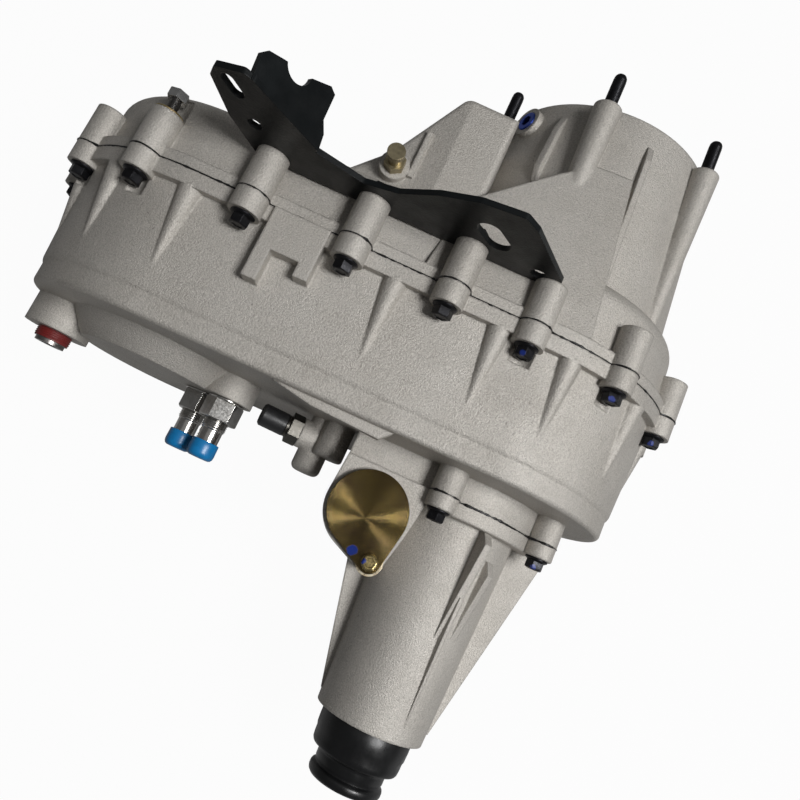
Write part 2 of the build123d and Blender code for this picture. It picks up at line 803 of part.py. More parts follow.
# Input bearing retainer, its screws and the input seal
retainer_radius = 71.0
retainer_height = 14.0
retainer_bore = 34.0
retainer_screw_circle = 60.0
retainer_screw_radius = 3.0
retainer_screw_count = 6
retainer_spigot = input_bearing_x + input_bearing_width
seal_lip = 0.25
with BuildPart() as input_retainer:
    add(tube(retainer_height, 0, retainer_radius, retainer_bore))
    chamfer(input_retainer.faces().sort_by(Axis.X)[-1].edges().sort_by(SortBy.RADIUS)[-1], length=2)
    add(tube(0, retainer_spigot, input_bearing_outer - 0.1, retainer_bore))
    with BuildSketch(Plane.YZ.offset(retainer_height)):
        with PolarLocations(retainer_screw_circle, retainer_screw_count):
            Circle(retainer_screw_radius + 0.3)
    extrude(amount=-retainer_height, mode=Mode.SUBTRACT)
write(input_retainer.part, "input_retainer")
with BuildPart() as retainer_screws:
    with BuildSketch(Plane.YZ.offset(retainer_height)):
        with PolarLocations(retainer_screw_circle, retainer_screw_count):
            Circle(retainer_screw_radius + 2.2)
    extrude(amount=5)
    with BuildSketch(Plane.YZ.offset(retainer_height + 5)):
        with PolarLocations(retainer_screw_circle, retainer_screw_count):
            RegularPolygon(2.5, 6)
    extrude(amount=-3, mode=Mode.SUBTRACT)
    with BuildSketch(Plane.YZ.offset(retainer_height)):
        with PolarLocations(retainer_screw_circle, retainer_screw_count):
            Circle(retainer_screw_radius)
    extrude(amount=-retainer_height)
write(retainer_screws.part, "retainer_screws")
input_seal = tube(retainer_height - 2, retainer_height - 11, retainer_bore - 0.05, input_radius + seal_lip)
write(input_seal, "input_seal")


def ball_bearing(front, width, outer, inner, ball, count, y=0.0):
    """Outer ring, inner ring and balls as separate solids."""
    middle = (outer + inner) / 2
    rear = front - width
    centre = front - width / 2
    with BuildPart() as rings:
        add(tube(front, rear, outer, middle + ball * 0.45, y))
        add(tube(front, rear, middle - ball * 0.45, inner, y))
        with Locations(Plane((centre, y, 0), z_dir=(1, 0, 0))):
            Torus(middle, ball + 0.06, mode=Mode.SUBTRACT)
    with BuildPart() as balls:
        with Locations(Plane((centre, y, 0), z_dir=(1, 0, 0))):
            with PolarLocations(middle, count):
                Sphere(ball)
    return Compound(children=[*rings.solids(), *balls.solids()])


shaft_fit = bearing_clearance
input_bearing = ball_bearing(
    input_bearing_x + input_bearing_width, input_bearing_width, input_bearing_outer,
    input_radius + shaft_fit, 5.5, 11
)
write(input_bearing, "input_bearing")
main_bearing = ball_bearing(
    main_bearing_x + main_bearing_width, main_bearing_width, main_bearing_outer,
    main_shaft_radius + shaft_fit, 6, 10
)
write(main_bearing, "main_bearing")
front_output_bearing = ball_bearing(
    front_bearing_x, front_bearing_width, front_bearing_outer,
    front_shaft_radius + shaft_fit, 5, 9, axle_spacing
)
write(front_output_bearing, "front_output_bearing")
front_output_rear_bearing = ball_bearing(
    cavity_end_x, front_bearing_width, front_bearing_outer, front_shaft_radius + shaft_fit, 5, 9, axle_spacing
)
write(front_output_rear_bearing, "front_output_rear_bearing")

# Gears of the planetary set
pressure_angle = 20.0
sun_radius = gear_module * sun_teeth / 2
planet_radius = gear_module * planet_teeth / 2
annulus_teeth = sun_teeth + 2 * planet_teeth
annulus_radius = gear_module * annulus_teeth / 2
planet_centre = sun_radius + planet_radius
gear_rear_x = gear_front_x - gear_width


def involute(angle):
    return tan(angle) - angle


def tooth_points(teeth, root, tip, slack):
    """One flank pair of an involute tooth about the local X axis."""
    pitch = gear_module * teeth / 2
    base = pitch * cos(radians(pressure_angle))
    middle = pi / (2 * teeth) + involute(radians(pressure_angle)) + slack / (2 * pitch)
    steps = 4
    radii = [max(base, root) + (tip - max(base, root)) * k / steps for k in range(steps + 1)]
    flank = [(r, middle - involute(acos(min(1.0, base / r)))) for r in radii]
    flank = [(root - 0.5, flank[0][1])] + flank
    upper = [(r * cos(a), r * sin(a)) for r, a in flank]
    lower = [(r * cos(a), -r * sin(a)) for r, a in reversed(flank)]
    return upper + lower


def toothed_disc(plane, teeth, width, place=(0, 0), turn=0.0, addendum=0.9, slack=-gear_backlash / 2):
    """A spur gear blank; its first tooth lies along the plane's x before the turn."""
    pitch = gear_module * teeth / 2
    root = pitch - 1.15 * gear_module
    points = tooth_points(teeth, root, pitch + addendum * gear_module, slack)
    with BuildSketch() as tooth:
        with BuildLine():
            Polyline(*points, close=True)
        make_face()
    with BuildPart() as piece:
        with BuildSketch(plane):
            with Locations(place):
                Circle(root)
                with PolarLocations(0, teeth, start_angle=turn):
                    add(tooth.sketch)
        extrude(amount=width)
    return piece.part


def spline_teeth(plane, length, root, height, width, grow=0.0):
    """Square-sided splines that stand on a shaft of the root radius."""
    with BuildPart() as piece:
        with BuildSketch(plane):
            Circle(root + grow)
            with PolarLocations(0, spline_count):
                with Locations((root + height / 2, 0)):
                    Rectangle(height + 2 + 2 * grow, width + 2 * grow)
            Circle(root + height + grow, mode=Mode.INTERSECT)
        extrude(amount=length)
    return piece.part


hub_root = main_shaft_radius
clutch_front_x = gear_rear_x - carrier_plate - 8.0
pilot_front_x = input_end_x + pilot_length + 2.0

with BuildPart() as input_gear:
    add(tube(-6, gear_front_x, input_radius))
    add(toothed_disc(Plane.YZ.offset(gear_rear_x), sun_teeth, gear_width))
    add(tube(gear_rear_x, clutch_front_x, input_radius - 2.5))
    add(
        spline_teeth(
            Plane.YZ.offset(input_end_x), clutch_front_x - input_end_x, hub_root, spline_height, spline_width
        )
    )
    add(tube(input_end_x, clutch_front_x, hub_root))
    add(tube(pilot_front_x, input_end_x, pilot_radius + bearing_clearance), mode=Mode.SUBTRACT)
    with BuildSketch(Plane.YZ.offset(-6)):
        Circle(input_spline_bore)
        with PolarLocations(input_spline_bore, end_spline_count):
            Rectangle(3.0, end_spline_width)
    extrude(amount=pilot_front_x + 16, mode=Mode.SUBTRACT)
write(input_gear.part, "input_gear")

with BuildPart() as annulus_gear:
    add(tube(gear_front_x, gear_rear_x, annulus_outer))
    add(
        toothed_disc(
            Plane.YZ.offset(gear_rear_x), annulus_teeth, gear_width,
            turn=180 / annulus_teeth, addendum=1.15, slack=gear_backlash / 2,
        ),
        mode=Mode.SUBTRACT,
    )
    add(tube(gear_front_x, gear_rear_x, annulus_radius - 0.8 * gear_module), mode=Mode.SUBTRACT)
write(annulus_gear.part, "annulus_gear")

planet_angles = [360 / planet_count * k for k in range(planet_count)]
planet_places = [on_ring(planet_centre, angle) for angle in planet_angles]
side_play = 0.4
for number, (angle, place) in enumerate(zip(planet_angles, planet_places), start=1):
    sun_phase = (sun_teeth * angle / 360) % 1.0
    turn = 180 / planet_teeth if sun_phase < 0.25 or sun_phase > 0.75 else 0.0
    with BuildPart() as planet_gear:
        add(
            toothed_disc(
                Plane.YZ.offset(gear_rear_x + side_play), planet_teeth, gear_width - 2 * side_play,
                place, turn, 0.8
            )
        )
        add(tube(gear_front_x, gear_rear_x, planet_bore + bearing_clearance, 0, *place), mode=Mode.SUBTRACT)
    write(planet_gear.part, f"planet_gear_{number}")

post_angles = [angle + 180 / planet_count for angle in planet_angles]
post_places = [on_ring(planet_centre + 1.5, angle) for angle in post_angles]
carrier_bore = input_radius + 1.0
with BuildPart() as planet_carrier:
    add(
        tube(gear_front_x + side_play + carrier_plate, gear_front_x + side_play, carrier_radius, carrier_bore)
    )
    add(tube(gear_rear_x - side_play, gear_rear_x - side_play - carrier_plate, carrier_radius, carrier_bore))
    add(bar(Plane.YZ.offset(gear_rear_x - side_play), 7.5, gear_width + 2 * side_play, post_places))
    add(
        bar(
            Plane.YZ.offset(gear_rear_x - side_play - carrier_plate), planet_bore + bearing_clearance,
            gear_width + 2 * side_play + 2 * carrier_plate, planet_places,
        ),
        mode=Mode.SUBTRACT,
    )
write(planet_carrier.part, "planet_carrier")
planet_pins = bar(
    Plane.YZ.offset(gear_rear_x - side_play - carrier_plate), planet_bore,
    gear_width + 2 * side_play + 2 * carrier_plate, planet_places,
)
write(planet_pins, "planet_pins")

# Main shaft
main_front_x = input_end_x - 1.0
range_hub_end = range_sleeve_x - range_sleeve_length - range_travel - 6.0
mode_hub_front = mode_sleeve_x + mode_travel + 2.0
sprocket_clutch_front = sprocket_x + 8.0
mode_hub_end = sprocket_clutch_front + 1.0
worm_front_x = port_x + 8.0
worm_length = 16.0
with BuildPart() as main_shaft:
    add(tube(pilot_front_x - 1, main_front_x, pilot_radius))
    add(tube(main_front_x, main_bearing_x - 4, hub_root))
    add(
        spline_teeth(
            Plane.YZ.offset(range_hub_end), main_front_x - range_hub_end, hub_root,
            spline_height, spline_width,
        )
    )
    add(
        spline_teeth(
            Plane.YZ.offset(mode_hub_end), mode_hub_front - mode_hub_end, hub_root,
            spline_height, spline_width,
        )
    )
    add(tube(main_bearing_x - 4, worm_front_x, output_spline_radius + 1))
    add(tube(worm_front_x, tail_end_x + 8, output_spline_radius))
    add(tube(worm_front_x, worm_front_x - worm_length, hub_root + 5))
    with BuildSketch(Plane.YZ.offset(tail_end_x + 8)):
        with PolarLocations(output_spline_radius, end_spline_count):
            Rectangle(2.4, end_spline_width)
    extrude(amount=40, mode=Mode.SUBTRACT)
    chamfer(main_shaft.faces().sort_by(Axis.X)[0].edges().filter_by(GeomType.CIRCLE), length=0.4)
write(main_shaft.part, "main_shaft")


def shift_sleeve(front, length, groove_centre):
    with BuildPart() as piece:
        add(tube(front, front - length, sleeve_radius))
        with BuildSketch(Plane.YZ.offset(groove_centre - groove_width / 2)):
            Circle(sleeve_radius)
            Circle(sleeve_radius - groove_depth, mode=Mode.SUBTRACT)
        extrude(amount=groove_width, mode=Mode.SUBTRACT)
        add(
            spline_teeth(
                Plane.YZ.offset(front - length), length, hub_root,
                spline_height, spline_width, spline_clearance,
            ),
            mode=Mode.SUBTRACT,
        )
    return piece.part


range_groove_x = range_sleeve_x - range_sleeve_length + groove_width / 2 + 4.0
mode_groove_x = mode_sleeve_x - 4.0 - groove_width / 2
range_sleeve = shift_sleeve(range_sleeve_x + 8, range_sleeve_length + 8, range_groove_x)
write(range_sleeve, "range_sleeve")
mode_sleeve = shift_sleeve(mode_sleeve_x, mode_sleeve_length, mode_groove_x)
write(mode_sleeve, "mode_sleeve")

# Sprockets and chain
sprocket_rear_x = sprocket_x - sprocket_width


def sprocket(place, bore):
    with BuildPart() as piece:
        with BuildSketch(Plane.YZ.offset(sprocket_rear_x)):
            with Locations((place, 0)):
                Circle(sprocket_radius - sprocket_tooth)
                with PolarLocations(sprocket_radius - sprocket_tooth / 2, sprocket_teeth):
                    Trapezoid(sprocket_tooth + 2, sprocket_tooth + 1.0, 68, rotation=-90)
        extrude(amount=sprocket_width)
        with BuildSketch(Plane.YZ.offset(sprocket_rear_x)):
            with Locations((place, 0)):
                Circle(sprocket_radius - sprocket_tooth - 6)
                Circle(bore + 9, mode=Mode.SUBTRACT)
        extrude(amount=8, mode=Mode.SUBTRACT)
        with BuildSketch(Plane.YZ.offset(sprocket_x)):
            with Locations((place, 0)):
                Circle(sprocket_radius - sprocket_tooth - 6)
                Circle(bore + 9, mode=Mode.SUBTRACT)
        extrude(amount=-8, mode=Mode.SUBTRACT)
        add(tube(sprocket_x, sprocket_rear_x, bore, 0, place), mode=Mode.SUBTRACT)
    return piece.part


with BuildPart() as drive_sprocket:
    add(sprocket(0, hub_root + 0.3))
    add(
        spline_teeth(
            Plane.YZ.offset(sprocket_x), sprocket_clutch_front - sprocket_x, hub_root,
            spline_height, spline_width,
        )
    )
    add(tube(sprocket_clutch_front, sprocket_rear_x, hub_root + bearing_clearance + 0.02), mode=Mode.SUBTRACT)
write(drive_sprocket.part, "drive_sprocket")
driven_sprocket = sprocket(axle_spacing, front_shaft_radius + bearing_clearance)
write(driven_sprocket, "driven_sprocket")

chain_inner = sprocket_radius + chain_gap
chain_pitch = 9.525
with BuildPart() as chain:
    with BuildSketch(Plane.YZ.offset(sprocket_rear_x + 1)):
        with Locations((axle_spacing / 2, 0)):
            SlotCenterToCenter(axle_spacing, 2 * (chain_inner + chain_thickness))
            SlotCenterToCenter(axle_spacing, 2 * chain_inner, mode=Mode.SUBTRACT)
        link_count = int(axle_spacing / chain_pitch)
        for side in (1, -1):
            with Locations((axle_spacing / 2, side * (chain_inner + chain_thickness))):
                with GridLocations(chain_pitch, 0, link_count, 1):
                    Circle(1.6, mode=Mode.SUBTRACT)
        for end, start in ((0, 90), (axle_spacing, -90)):
            with Locations((end, 0)):
                with PolarLocations(chain_inner + chain_thickness, 20, start_angle=start, angular_range=180):
                    Circle(1.6, mode=Mode.SUBTRACT)
    extrude(amount=sprocket_width - 2)
write(chain.part, "drive_chain")

# Front output shaft, its flange, nut and seal
flange_radius_out = 38.0
output_flange_front = -109.0
output_flange_thickness = 9.0
output_flange_pcd = 58.0
output_flange_hole = 4.2
nut_height = 9.0
front_thread_radius = 9.0
flange_hub_radius = 22.0
flange_rear_x = output_flange_front - output_flange_thickness
with BuildPart() as front_output_shaft:
    add(tube(front_bearing_x + 2, front_rear_bearing_x + 0.5, front_shaft_radius, 0, axle_spacing))
    add(tube(output_flange_front, front_bearing_x + 2, front_shaft_radius - 3, 0, axle_spacing))
    add(tube(output_flange_front + nut_height + 1, output_flange_front, front_thread_radius, 0, axle_spacing))
    add(tube(sprocket_rear_x - 0.5, sprocket_rear_x - 8, front_shaft_radius + 5, 0, axle_spacing))
write(front_output_shaft.part, "front_output_shaft")
with BuildPart() as front_output_flange:
    add(tube(output_flange_front, flange_rear_x, flange_radius_out, 0, axle_spacing))
    fillet(front_output_flange.edges(), radius=1)
    add(tube(flange_rear_x + 1, front_bearing_x + 2.2, flange_hub_radius, 0, axle_spacing))
    add(
        tube(output_flange_front + 1, front_bearing_x, front_shaft_radius - 3 + 0.02, 0, axle_spacing),
        mode=Mode.SUBTRACT,
    )
    with BuildSketch(Plane.YZ.offset(output_flange_front)):
        with Locations((axle_spacing, 0)):
            with PolarLocations(output_flange_pcd / 2, 4, start_angle=45):
                Circle(output_flange_hole)
    extrude(amount=-output_flange_thickness, mode=Mode.SUBTRACT)
write(front_output_flange.part, "front_output_flange")
with BuildPart() as front_output_nut:
    add(hexagon(Plane.YZ.offset(output_flange_front), 30, nut_height, ((axle_spacing, 0),)))
    add(
        tube(
            output_flange_front + nut_height, output_flange_front, front_thread_radius + 0.02, 0, axle_spacing
        ),
        mode=Mode.SUBTRACT,
    )
write(front_output_nut.part, "front_output_nut")
front_output_seal = tube(
    hub_front_x, hub_front_x - 7, front_seal_radius, flange_hub_radius + seal_lip, axle_spacing
)
write(front_output_seal, "front_output_seal")

# Shift gear: rail, forks, sector and outside lever
shift_rail = tube(rail_front_x - 0.5, rail_rear_x + 0.5, rail_radius, 0, rail_y, rail_z)
write(shift_rail, "shift_rail")
fork_pad_inner = sleeve_radius - groove_depth + fork_clearance
fork_pad_outer = sleeve_radius + 7.0
fork_thickness = groove_width - 2 * fork_clearance
pin_forward = range_travel / 2
pin_up = sqrt(sector_arm**2 - pin_forward**2)
pin_x = sector_x + pin_forward
pin_z = sector_z + pin_up
fork_lug_thickness = 7.0
fork_lug_half = 10.0
range_hub_front = pin_x + fork_lug_half
range_hub_rear = range_groove_x - 8.0


def fork_arm(groove_x):
    """A half ring in the sleeve groove with an arm to the rail."""
    with BuildPart() as piece:
        with BuildSketch(Plane.YZ.offset(groove_x - fork_thickness / 2)):
            Circle(fork_pad_outer)
            with Locations((-fork_pad_outer, 0)):
                Rectangle(2 * fork_pad_outer, 3 * fork_pad_outer, mode=Mode.SUBTRACT)
            with BuildLine():
                Polyline(
                    (fork_pad_outer * 0.8, -14), (rail_y, rail_z - fork_hub_radius * 0.8),
                    (rail_y, rail_z + fork_hub_radius * 0.8), (fork_pad_outer * 0.8, 22), close=True,
                )
            make_face()
            Circle(fork_pad_inner, mode=Mode.SUBTRACT)
        extrude(amount=fork_thickness)
    return piece.part


with BuildPart() as range_fork:
    add(fork_arm(range_groove_x))
    add(tube(range_hub_front, range_hub_rear, fork_hub_radius, 0, rail_y, rail_z))
    with BuildSketch(Plane.XZ.offset(-rail_y + fork_hub_radius - 3)):
        with Locations((pin_x, (rail_z + pin_z - 10) / 2)):
            Rectangle(2 * fork_lug_half, rail_z - pin_z + 10)
        with Locations((pin_x, pin_z - 3)):
            SlotOverall(30, 2 * (sector_pin_radius + fork_clearance), rotation=90, mode=Mode.SUBTRACT)
    extrude(amount=fork_lug_thickness + 3)
    add(
        tube(range_hub_front, range_hub_rear, rail_radius + bearing_clearance, 0, rail_y, rail_z),
        mode=Mode.SUBTRACT,
    )
write(range_fork.part, "range_fork")

mode_hub_rear = mode_groove_x - 12.0
with BuildPart() as mode_fork:
    add(fork_arm(mode_groove_x))
    add(tube(mode_groove_x + 12, mode_hub_rear, fork_hub_radius, 0, rail_y, rail_z))
    add(
        tube(mode_groove_x + 12, mode_hub_rear, rail_radius + bearing_clearance, 0, rail_y, rail_z),
        mode=Mode.SUBTRACT,
    )
write(mode_fork.part, "mode_fork")

lug_near_y = rail_y - fork_hub_radius - fork_lug_thickness
sector_near_y = lug_near_y - 1.0 - sector_plate
with BuildPart() as shift_sector:
    with BuildSketch(Plane.XZ.offset(-sector_near_y)):
        with Locations((sector_x, sector_z)):
            Circle(14)
        with Locations((pin_x, pin_z)):
            Circle(sector_pin_radius + 5)
        with BuildLine():
            Polyline(
                (sector_x - 12, sector_z), (sector_x + 12, sector_z + 6),
                (pin_x + 8, pin_z), (pin_x - 8, pin_z),
                close=True,
            )
        make_face()
    extrude(amount=-sector_plate)
    with BuildSketch(Plane.XZ.offset(-sector_near_y - sector_plate)):
        with Locations((pin_x, pin_z)):
            Circle(sector_pin_radius)
    extrude(amount=-fork_lug_thickness - 2)
    with BuildSketch(Plane.XZ.offset(-sector_near_y)):
        with Locations((sector_x, sector_z)):
            Circle(sector_shaft_radius)
    extrude(amount=-(lever_y + lever_thickness + 9 - sector_near_y))
write(shift_sector.part, "shift_sector")

with BuildPart() as shift_lever:
    with BuildSketch(Plane.XZ.offset(-lever_y)):
        with Locations((sector_x, sector_z)):
            Circle(13)
        with Locations((sector_x, sector_z - lever_length)):
            Circle(9)
        with Locations((sector_x, sector_z - lever_length / 2)):
            Rectangle(15, lever_length)
        with Locations((sector_x, sector_z)):
            Circle(sector_shaft_radius + 0.05, mode=Mode.SUBTRACT)
        with Locations((sector_x, sector_z - lever_length)):
            Circle(4, mode=Mode.SUBTRACT)
    extrude(amount=-lever_thickness)
write(shift_lever.part, "shift_lever")
lever_nut_plane = Plane.XZ.offset(-lever_y - lever_thickness)
with BuildPart() as lever_nut:
    with BuildSketch(lever_nut_plane):
        with Locations((sector_x, sector_z)):
            RegularPolygon(12, 6, major_radius=False)
            Circle(sector_shaft_radius + 0.05, mode=Mode.SUBTRACT)
    extrude(amount=-6)
write(lever_nut.part, "lever_nut")

# Oil pump on the main shaft, its rotor and the pickup
pump_radius = 46.0
pump_front_x = cavity_end_x + 14.0
pump_rotor_radius = 30.0
pickup_radius = 5.0
with BuildPart() as oil_pump:
    add(tube(pump_front_x, cavity_end_x, pump_radius, hub_root + 1.5))
    add(tube(pump_front_x - 3, cavity_end_x + 3, pump_rotor_radius + 0.4), mode=Mode.SUBTRACT)
    add(tube(pump_front_x, cavity_end_x, hub_root + 1.5), mode=Mode.SUBTRACT)
write(oil_pump.part, "oil_pump")
oil_pump_rotor = tube(pump_front_x - 3.3, cavity_end_x + 3.3, pump_rotor_radius, hub_root)
write(oil_pump_rotor, "oil_pump_rotor")
with BuildPart() as oil_pickup:
    with BuildSketch(Plane.XY.offset(-pump_radius + 1)):
        with Locations((cavity_end_x + 7, 0)):
            Circle(pickup_radius)
    extrude(amount=-(wall_radius - case_wall - 12 - pump_radius))
    with BuildSketch(Plane.XY.offset(-(wall_radius - case_wall - 13))):
        with Locations((cavity_end_x + 16, 0)):
            Rectangle(30, 44)
    extrude(amount=-6)
    fillet(oil_pickup.faces().sort_by(Axis.Z)[0].edges(), radius=2)
    add(tube(pump_front_x, cavity_end_x, pump_radius + 0.02), mode=Mode.SUBTRACT)
write(oil_pickup.part, "oil_pickup")

# Outside fittings of the rear case
fill_plug_reach = 11.0
with BuildPart() as drain_plug:
    add(tube(rim_end_x + 6, drain_end_x - 8, drain_plug_radius, 0, drain_y, drain_z))
    add(tube(drain_end_x - 8, drain_end_x - fill_plug_reach, drain_plug_radius - 1.5, 0, drain_y, drain_z))
    add(hexagon(rearward(drain_end_x - fill_plug_reach), 11, -7, ((-drain_y, drain_z),)), mode=Mode.SUBTRACT)
write(drain_plug.part, "drain_plug")
fitting_end_x = hub_face_x - fitting_reach
fitting_seats = mirrored(fitting_places)
with BuildPart() as cooler_fittings:
    add(bar(rearward(hub_face_x), fitting_hex / 2 + fitting_collar, 1.6, fitting_seats))
    add(hexagon(rearward(hub_face_x - 1.6), fitting_hex, 15, fitting_seats, 12))
    add(bar(rearward(hub_face_x - 16.6), 8.6, 4, fitting_seats))
    add(bar(rearward(hub_face_x - 20.6), 9.4, 2, fitting_seats))
    add(bar(rearward(hub_face_x - 22.6), 8.4, fitting_reach - 24.0, fitting_seats))
    add(bar(rearward(hub_face_x), 7.0, -12, fitting_seats))
    add(bar(rearward(fitting_end_x + 1.4), 4.0, -(fitting_reach - 6), fitting_seats), mode=Mode.SUBTRACT)
write(cooler_fittings.part, "cooler_fittings")
with BuildPart() as cooler_caps:
    add(bar(rearward(fitting_end_x + 11), 10.4, 13.5, fitting_seats))
    fillet(cooler_caps.faces().sort_by(Axis.X)[0].edges(), radius=2.2)
    add(bar(rearward(fitting_end_x + 11), 8.45, 9.8, fitting_seats), mode=Mode.SUBTRACT)
write(cooler_caps.part, "cooler_caps")

# Neutral indicator switch on its seat
switch_seat = switch_plane.offset(switch_boss_height)
with BuildPart() as indicator_switch:
    add(hexagon(switch_seat, 21, 9))
    add(bar(switch_seat.offset(9), 8.5, 3))
    chamfer(indicator_switch.edges().filter_by(GeomType.CIRCLE), length=0.5)
    add(bar(switch_seat.offset(-switch_depth + 0.5), switch_thread, switch_depth))
write(indicator_switch.part, "indicator_switch")
with BuildPart() as switch_connector:
    add(bar(switch_seat.offset(12), 8.8, 20))
    chamfer(switch_connector.faces().sort_by(Axis.Y)[-1].edges(), length=1.5)
    add(bar(switch_seat.offset(32), 6.4, -12), mode=Mode.SUBTRACT)
write(switch_connector.part, "switch_connector")

# Speedometer port plug, hold-down clip and bolt
port_plane = Plane.XY.offset(port_top)
plug_ear_radius = 7.8
plug_bolt_radius = 3.0
clip_height = 3.0
plug_bolt_seat = port_plane.offset(plug_height + 0.05)
with BuildPart() as speedometer_plug:
    with BuildSketch(port_plane):
        with Locations((port_x, port_y)):
            Circle(plug_radius)
    extrude(amount=plug_height)
    with BuildSketch(port_plane.offset(clip_height + 0.1)):
        with Locations((port_x, port_y)):
            Circle(plug_radius)
        with Locations((port_bolt_x, port_bolt_y)):
            Circle(plug_ear_radius)
        make_hull()
    extrude(amount=plug_height - clip_height - 0.1)
    chamfer(speedometer_plug.faces().sort_by(Axis.Z)[-1].edges(), length=0.6)
    with BuildSketch(port_plane.offset(plug_height)):
        with Locations((port_bolt_x, port_bolt_y)):
            Circle(plug_bolt_radius + bolt_clearance)
    extrude(amount=-plug_height, mode=Mode.SUBTRACT)
    with BuildSketch(port_plane):
        with Locations((port_x, port_y)):
            Circle(port_bore - 0.1)
    extrude(amount=-30)
write(speedometer_plug.part, "speedometer_plug")
with BuildPart() as plug_clip:
    with BuildSketch(port_plane.offset(0.05)):
        with Locations((port_bolt_x, port_bolt_y)):
            Circle(port_ear_radius + 0.5)
            Circle(plug_bolt_radius + bolt_clearance, mode=Mode.SUBTRACT)
        with Locations((port_x, port_y)):
            Circle(plug_radius + 0.3, mode=Mode.SUBTRACT)
    extrude(amount=clip_height)
write(plug_clip.part, "plug_clip")
with BuildPart() as plug_bolt:
    add(bar(plug_bolt_seat, 5.7, 1.5, ((port_bolt_x, port_bolt_y),)))
    add(hexagon(plug_bolt_seat.offset(1.5), 10, 5, ((port_bolt_x, port_bolt_y),)))
    add(bar(plug_bolt_seat.offset(6.5), 3.4, -0.8, ((port_bolt_x, port_bolt_y),)), mode=Mode.SUBTRACT)
    add(bar(plug_bolt_seat, plug_bolt_radius, -20, ((port_bolt_x, port_bolt_y),)))
write(plug_bolt.part, "plug_bolt")

# Outside fittings of the front case
jack_base_x = seam_front + front_boss_length
with BuildPart() as jack_bolt:
    add(tube(jack_base_x + 2, jack_base_x, jack_washer_radius, 4.3, *jack_place))
    add(tube(jack_base_x + 14, jack_base_x - 8, 4.0, 0, *jack_place))
    add(hexagon(Plane.YZ.offset(jack_base_x + 12), 13, 7, (jack_place,)))
write(jack_bolt.part, "jack_bolt")

vent_seat = Plane.XY.offset(shoulder_top)
with BuildPart() as vent:
    add(hexagon(vent_seat, 14, 6, (vent_place,)))
    add(bar(vent_seat.offset(6), 5, 8, (vent_place,)))
    add(bar(vent_seat.offset(14), 6.5, 4, (vent_place,)))
    add(bar(vent_seat, vent_thread, 0.5 - case_wall, (vent_place,)))
write(vent.part, "vent")
with BuildPart() as pipe_plug:
    add(bar(pipe_plug_seat.offset(1.0), pipe_plug_radius, 0.5 - pipe_boss_depth))
    chamfer(pipe_plug.edges().filter_by(GeomType.CIRCLE), length=0.6)
    add(hexagon(pipe_plug_seat.offset(1.0), 8, -6), mode=Mode.SUBTRACT)
write(pipe_plug.part, "pipe_plug")

# Bracket of bent sheet steel on the bosses along the top
bracket_bosses = case_bolt_places[len(main_bolt_angles) + len(left_bolt_angles):]
bracket_bosses = [place for place in bracket_bosses if place[1] > 0]
bracket_base_x = seam_front + front_boss_length
bracket_low = bolt_circle - 4.0
bracket_outline = (
    (254.0, 186.0), (250.0, 196.0), (231.0, 202.0), (224.0, 198.0), (202.0, 167.0), (188.0, 151.0),
    (156.0, 140.0), (132.0, 147.0), (107.0, 167.0), (82.0, 180.0),
    (54.0, 185.0), (44.0, 176.0), (13.0, 128.0), (12.0, 120.0),
    (24.0, bracket_low), (211.0, bracket_low), (234.0, 116.0), (248.0, 149.0),
)
flange_start = Vector(bracket_base_x, 229.0, 197.0)
flange_end = Vector(bracket_base_x, 190.0, 151.5)
flange_along = (flange_end - flange_start).normalized()
flange_plane = Plane(flange_start, x_dir=flange_along, z_dir=flange_along.cross(Vector(1, 0, 0)))
bracket_flange = (
    (0, 0), (-2, 17), (1, 21), (12, 25), (33, 31), (47, 38), (52, 36), (53, 18), (58, 11), (60, 0),
)
with BuildPart() as bracket:
    with BuildSketch(Plane.YZ.offset(bracket_base_x)) as bracket_plan:
        with BuildLine():
            Polyline(*bracket_outline, close=True)
        make_face()
        fillet(bracket_plan.vertices(), radius=3.0)
        with Locations(*bracket_bosses):
            Circle(case_bolt_radius + bolt_clearance, mode=Mode.SUBTRACT)
        with Locations((240, 184)):
            SlotOverall(20, 9, rotation=65, mode=Mode.SUBTRACT)
        with Locations((66, 147)):
            SlotOverall(30, 17, rotation=50, mode=Mode.SUBTRACT)
        with Locations((230, 152)):
            Circle(5, mode=Mode.SUBTRACT)
        with Locations((29, 125)):
            Circle(5.5, mode=Mode.SUBTRACT)
    extrude(amount=bracket_sheet)
    with BuildSketch(flange_plane):
        with BuildLine():
            Polyline(*bracket_flange, close=True)
        make_face()
        with Locations((23, 30)):
            Circle(10, mode=Mode.SUBTRACT)
    extrude(amount=bracket_sheet)
write(bracket.part, "bracket")
bracket_screw_seat = bracket_base_x + bracket_sheet
with BuildPart() as bracket_screws:
    for place in bracket_bosses:
        add(
            tube(bracket_screw_seat + 2, bracket_screw_seat, bolt_head_flange, 0, *place)
        )
        add(hexagon(Plane.YZ.offset(bracket_screw_seat + 2), bolt_head_across, 6, (place,)))
        add(tube(bracket_screw_seat, bracket_base_x - 8, case_bolt_radius, 0, *place))
write(bracket_screws.part, "bracket_screws")

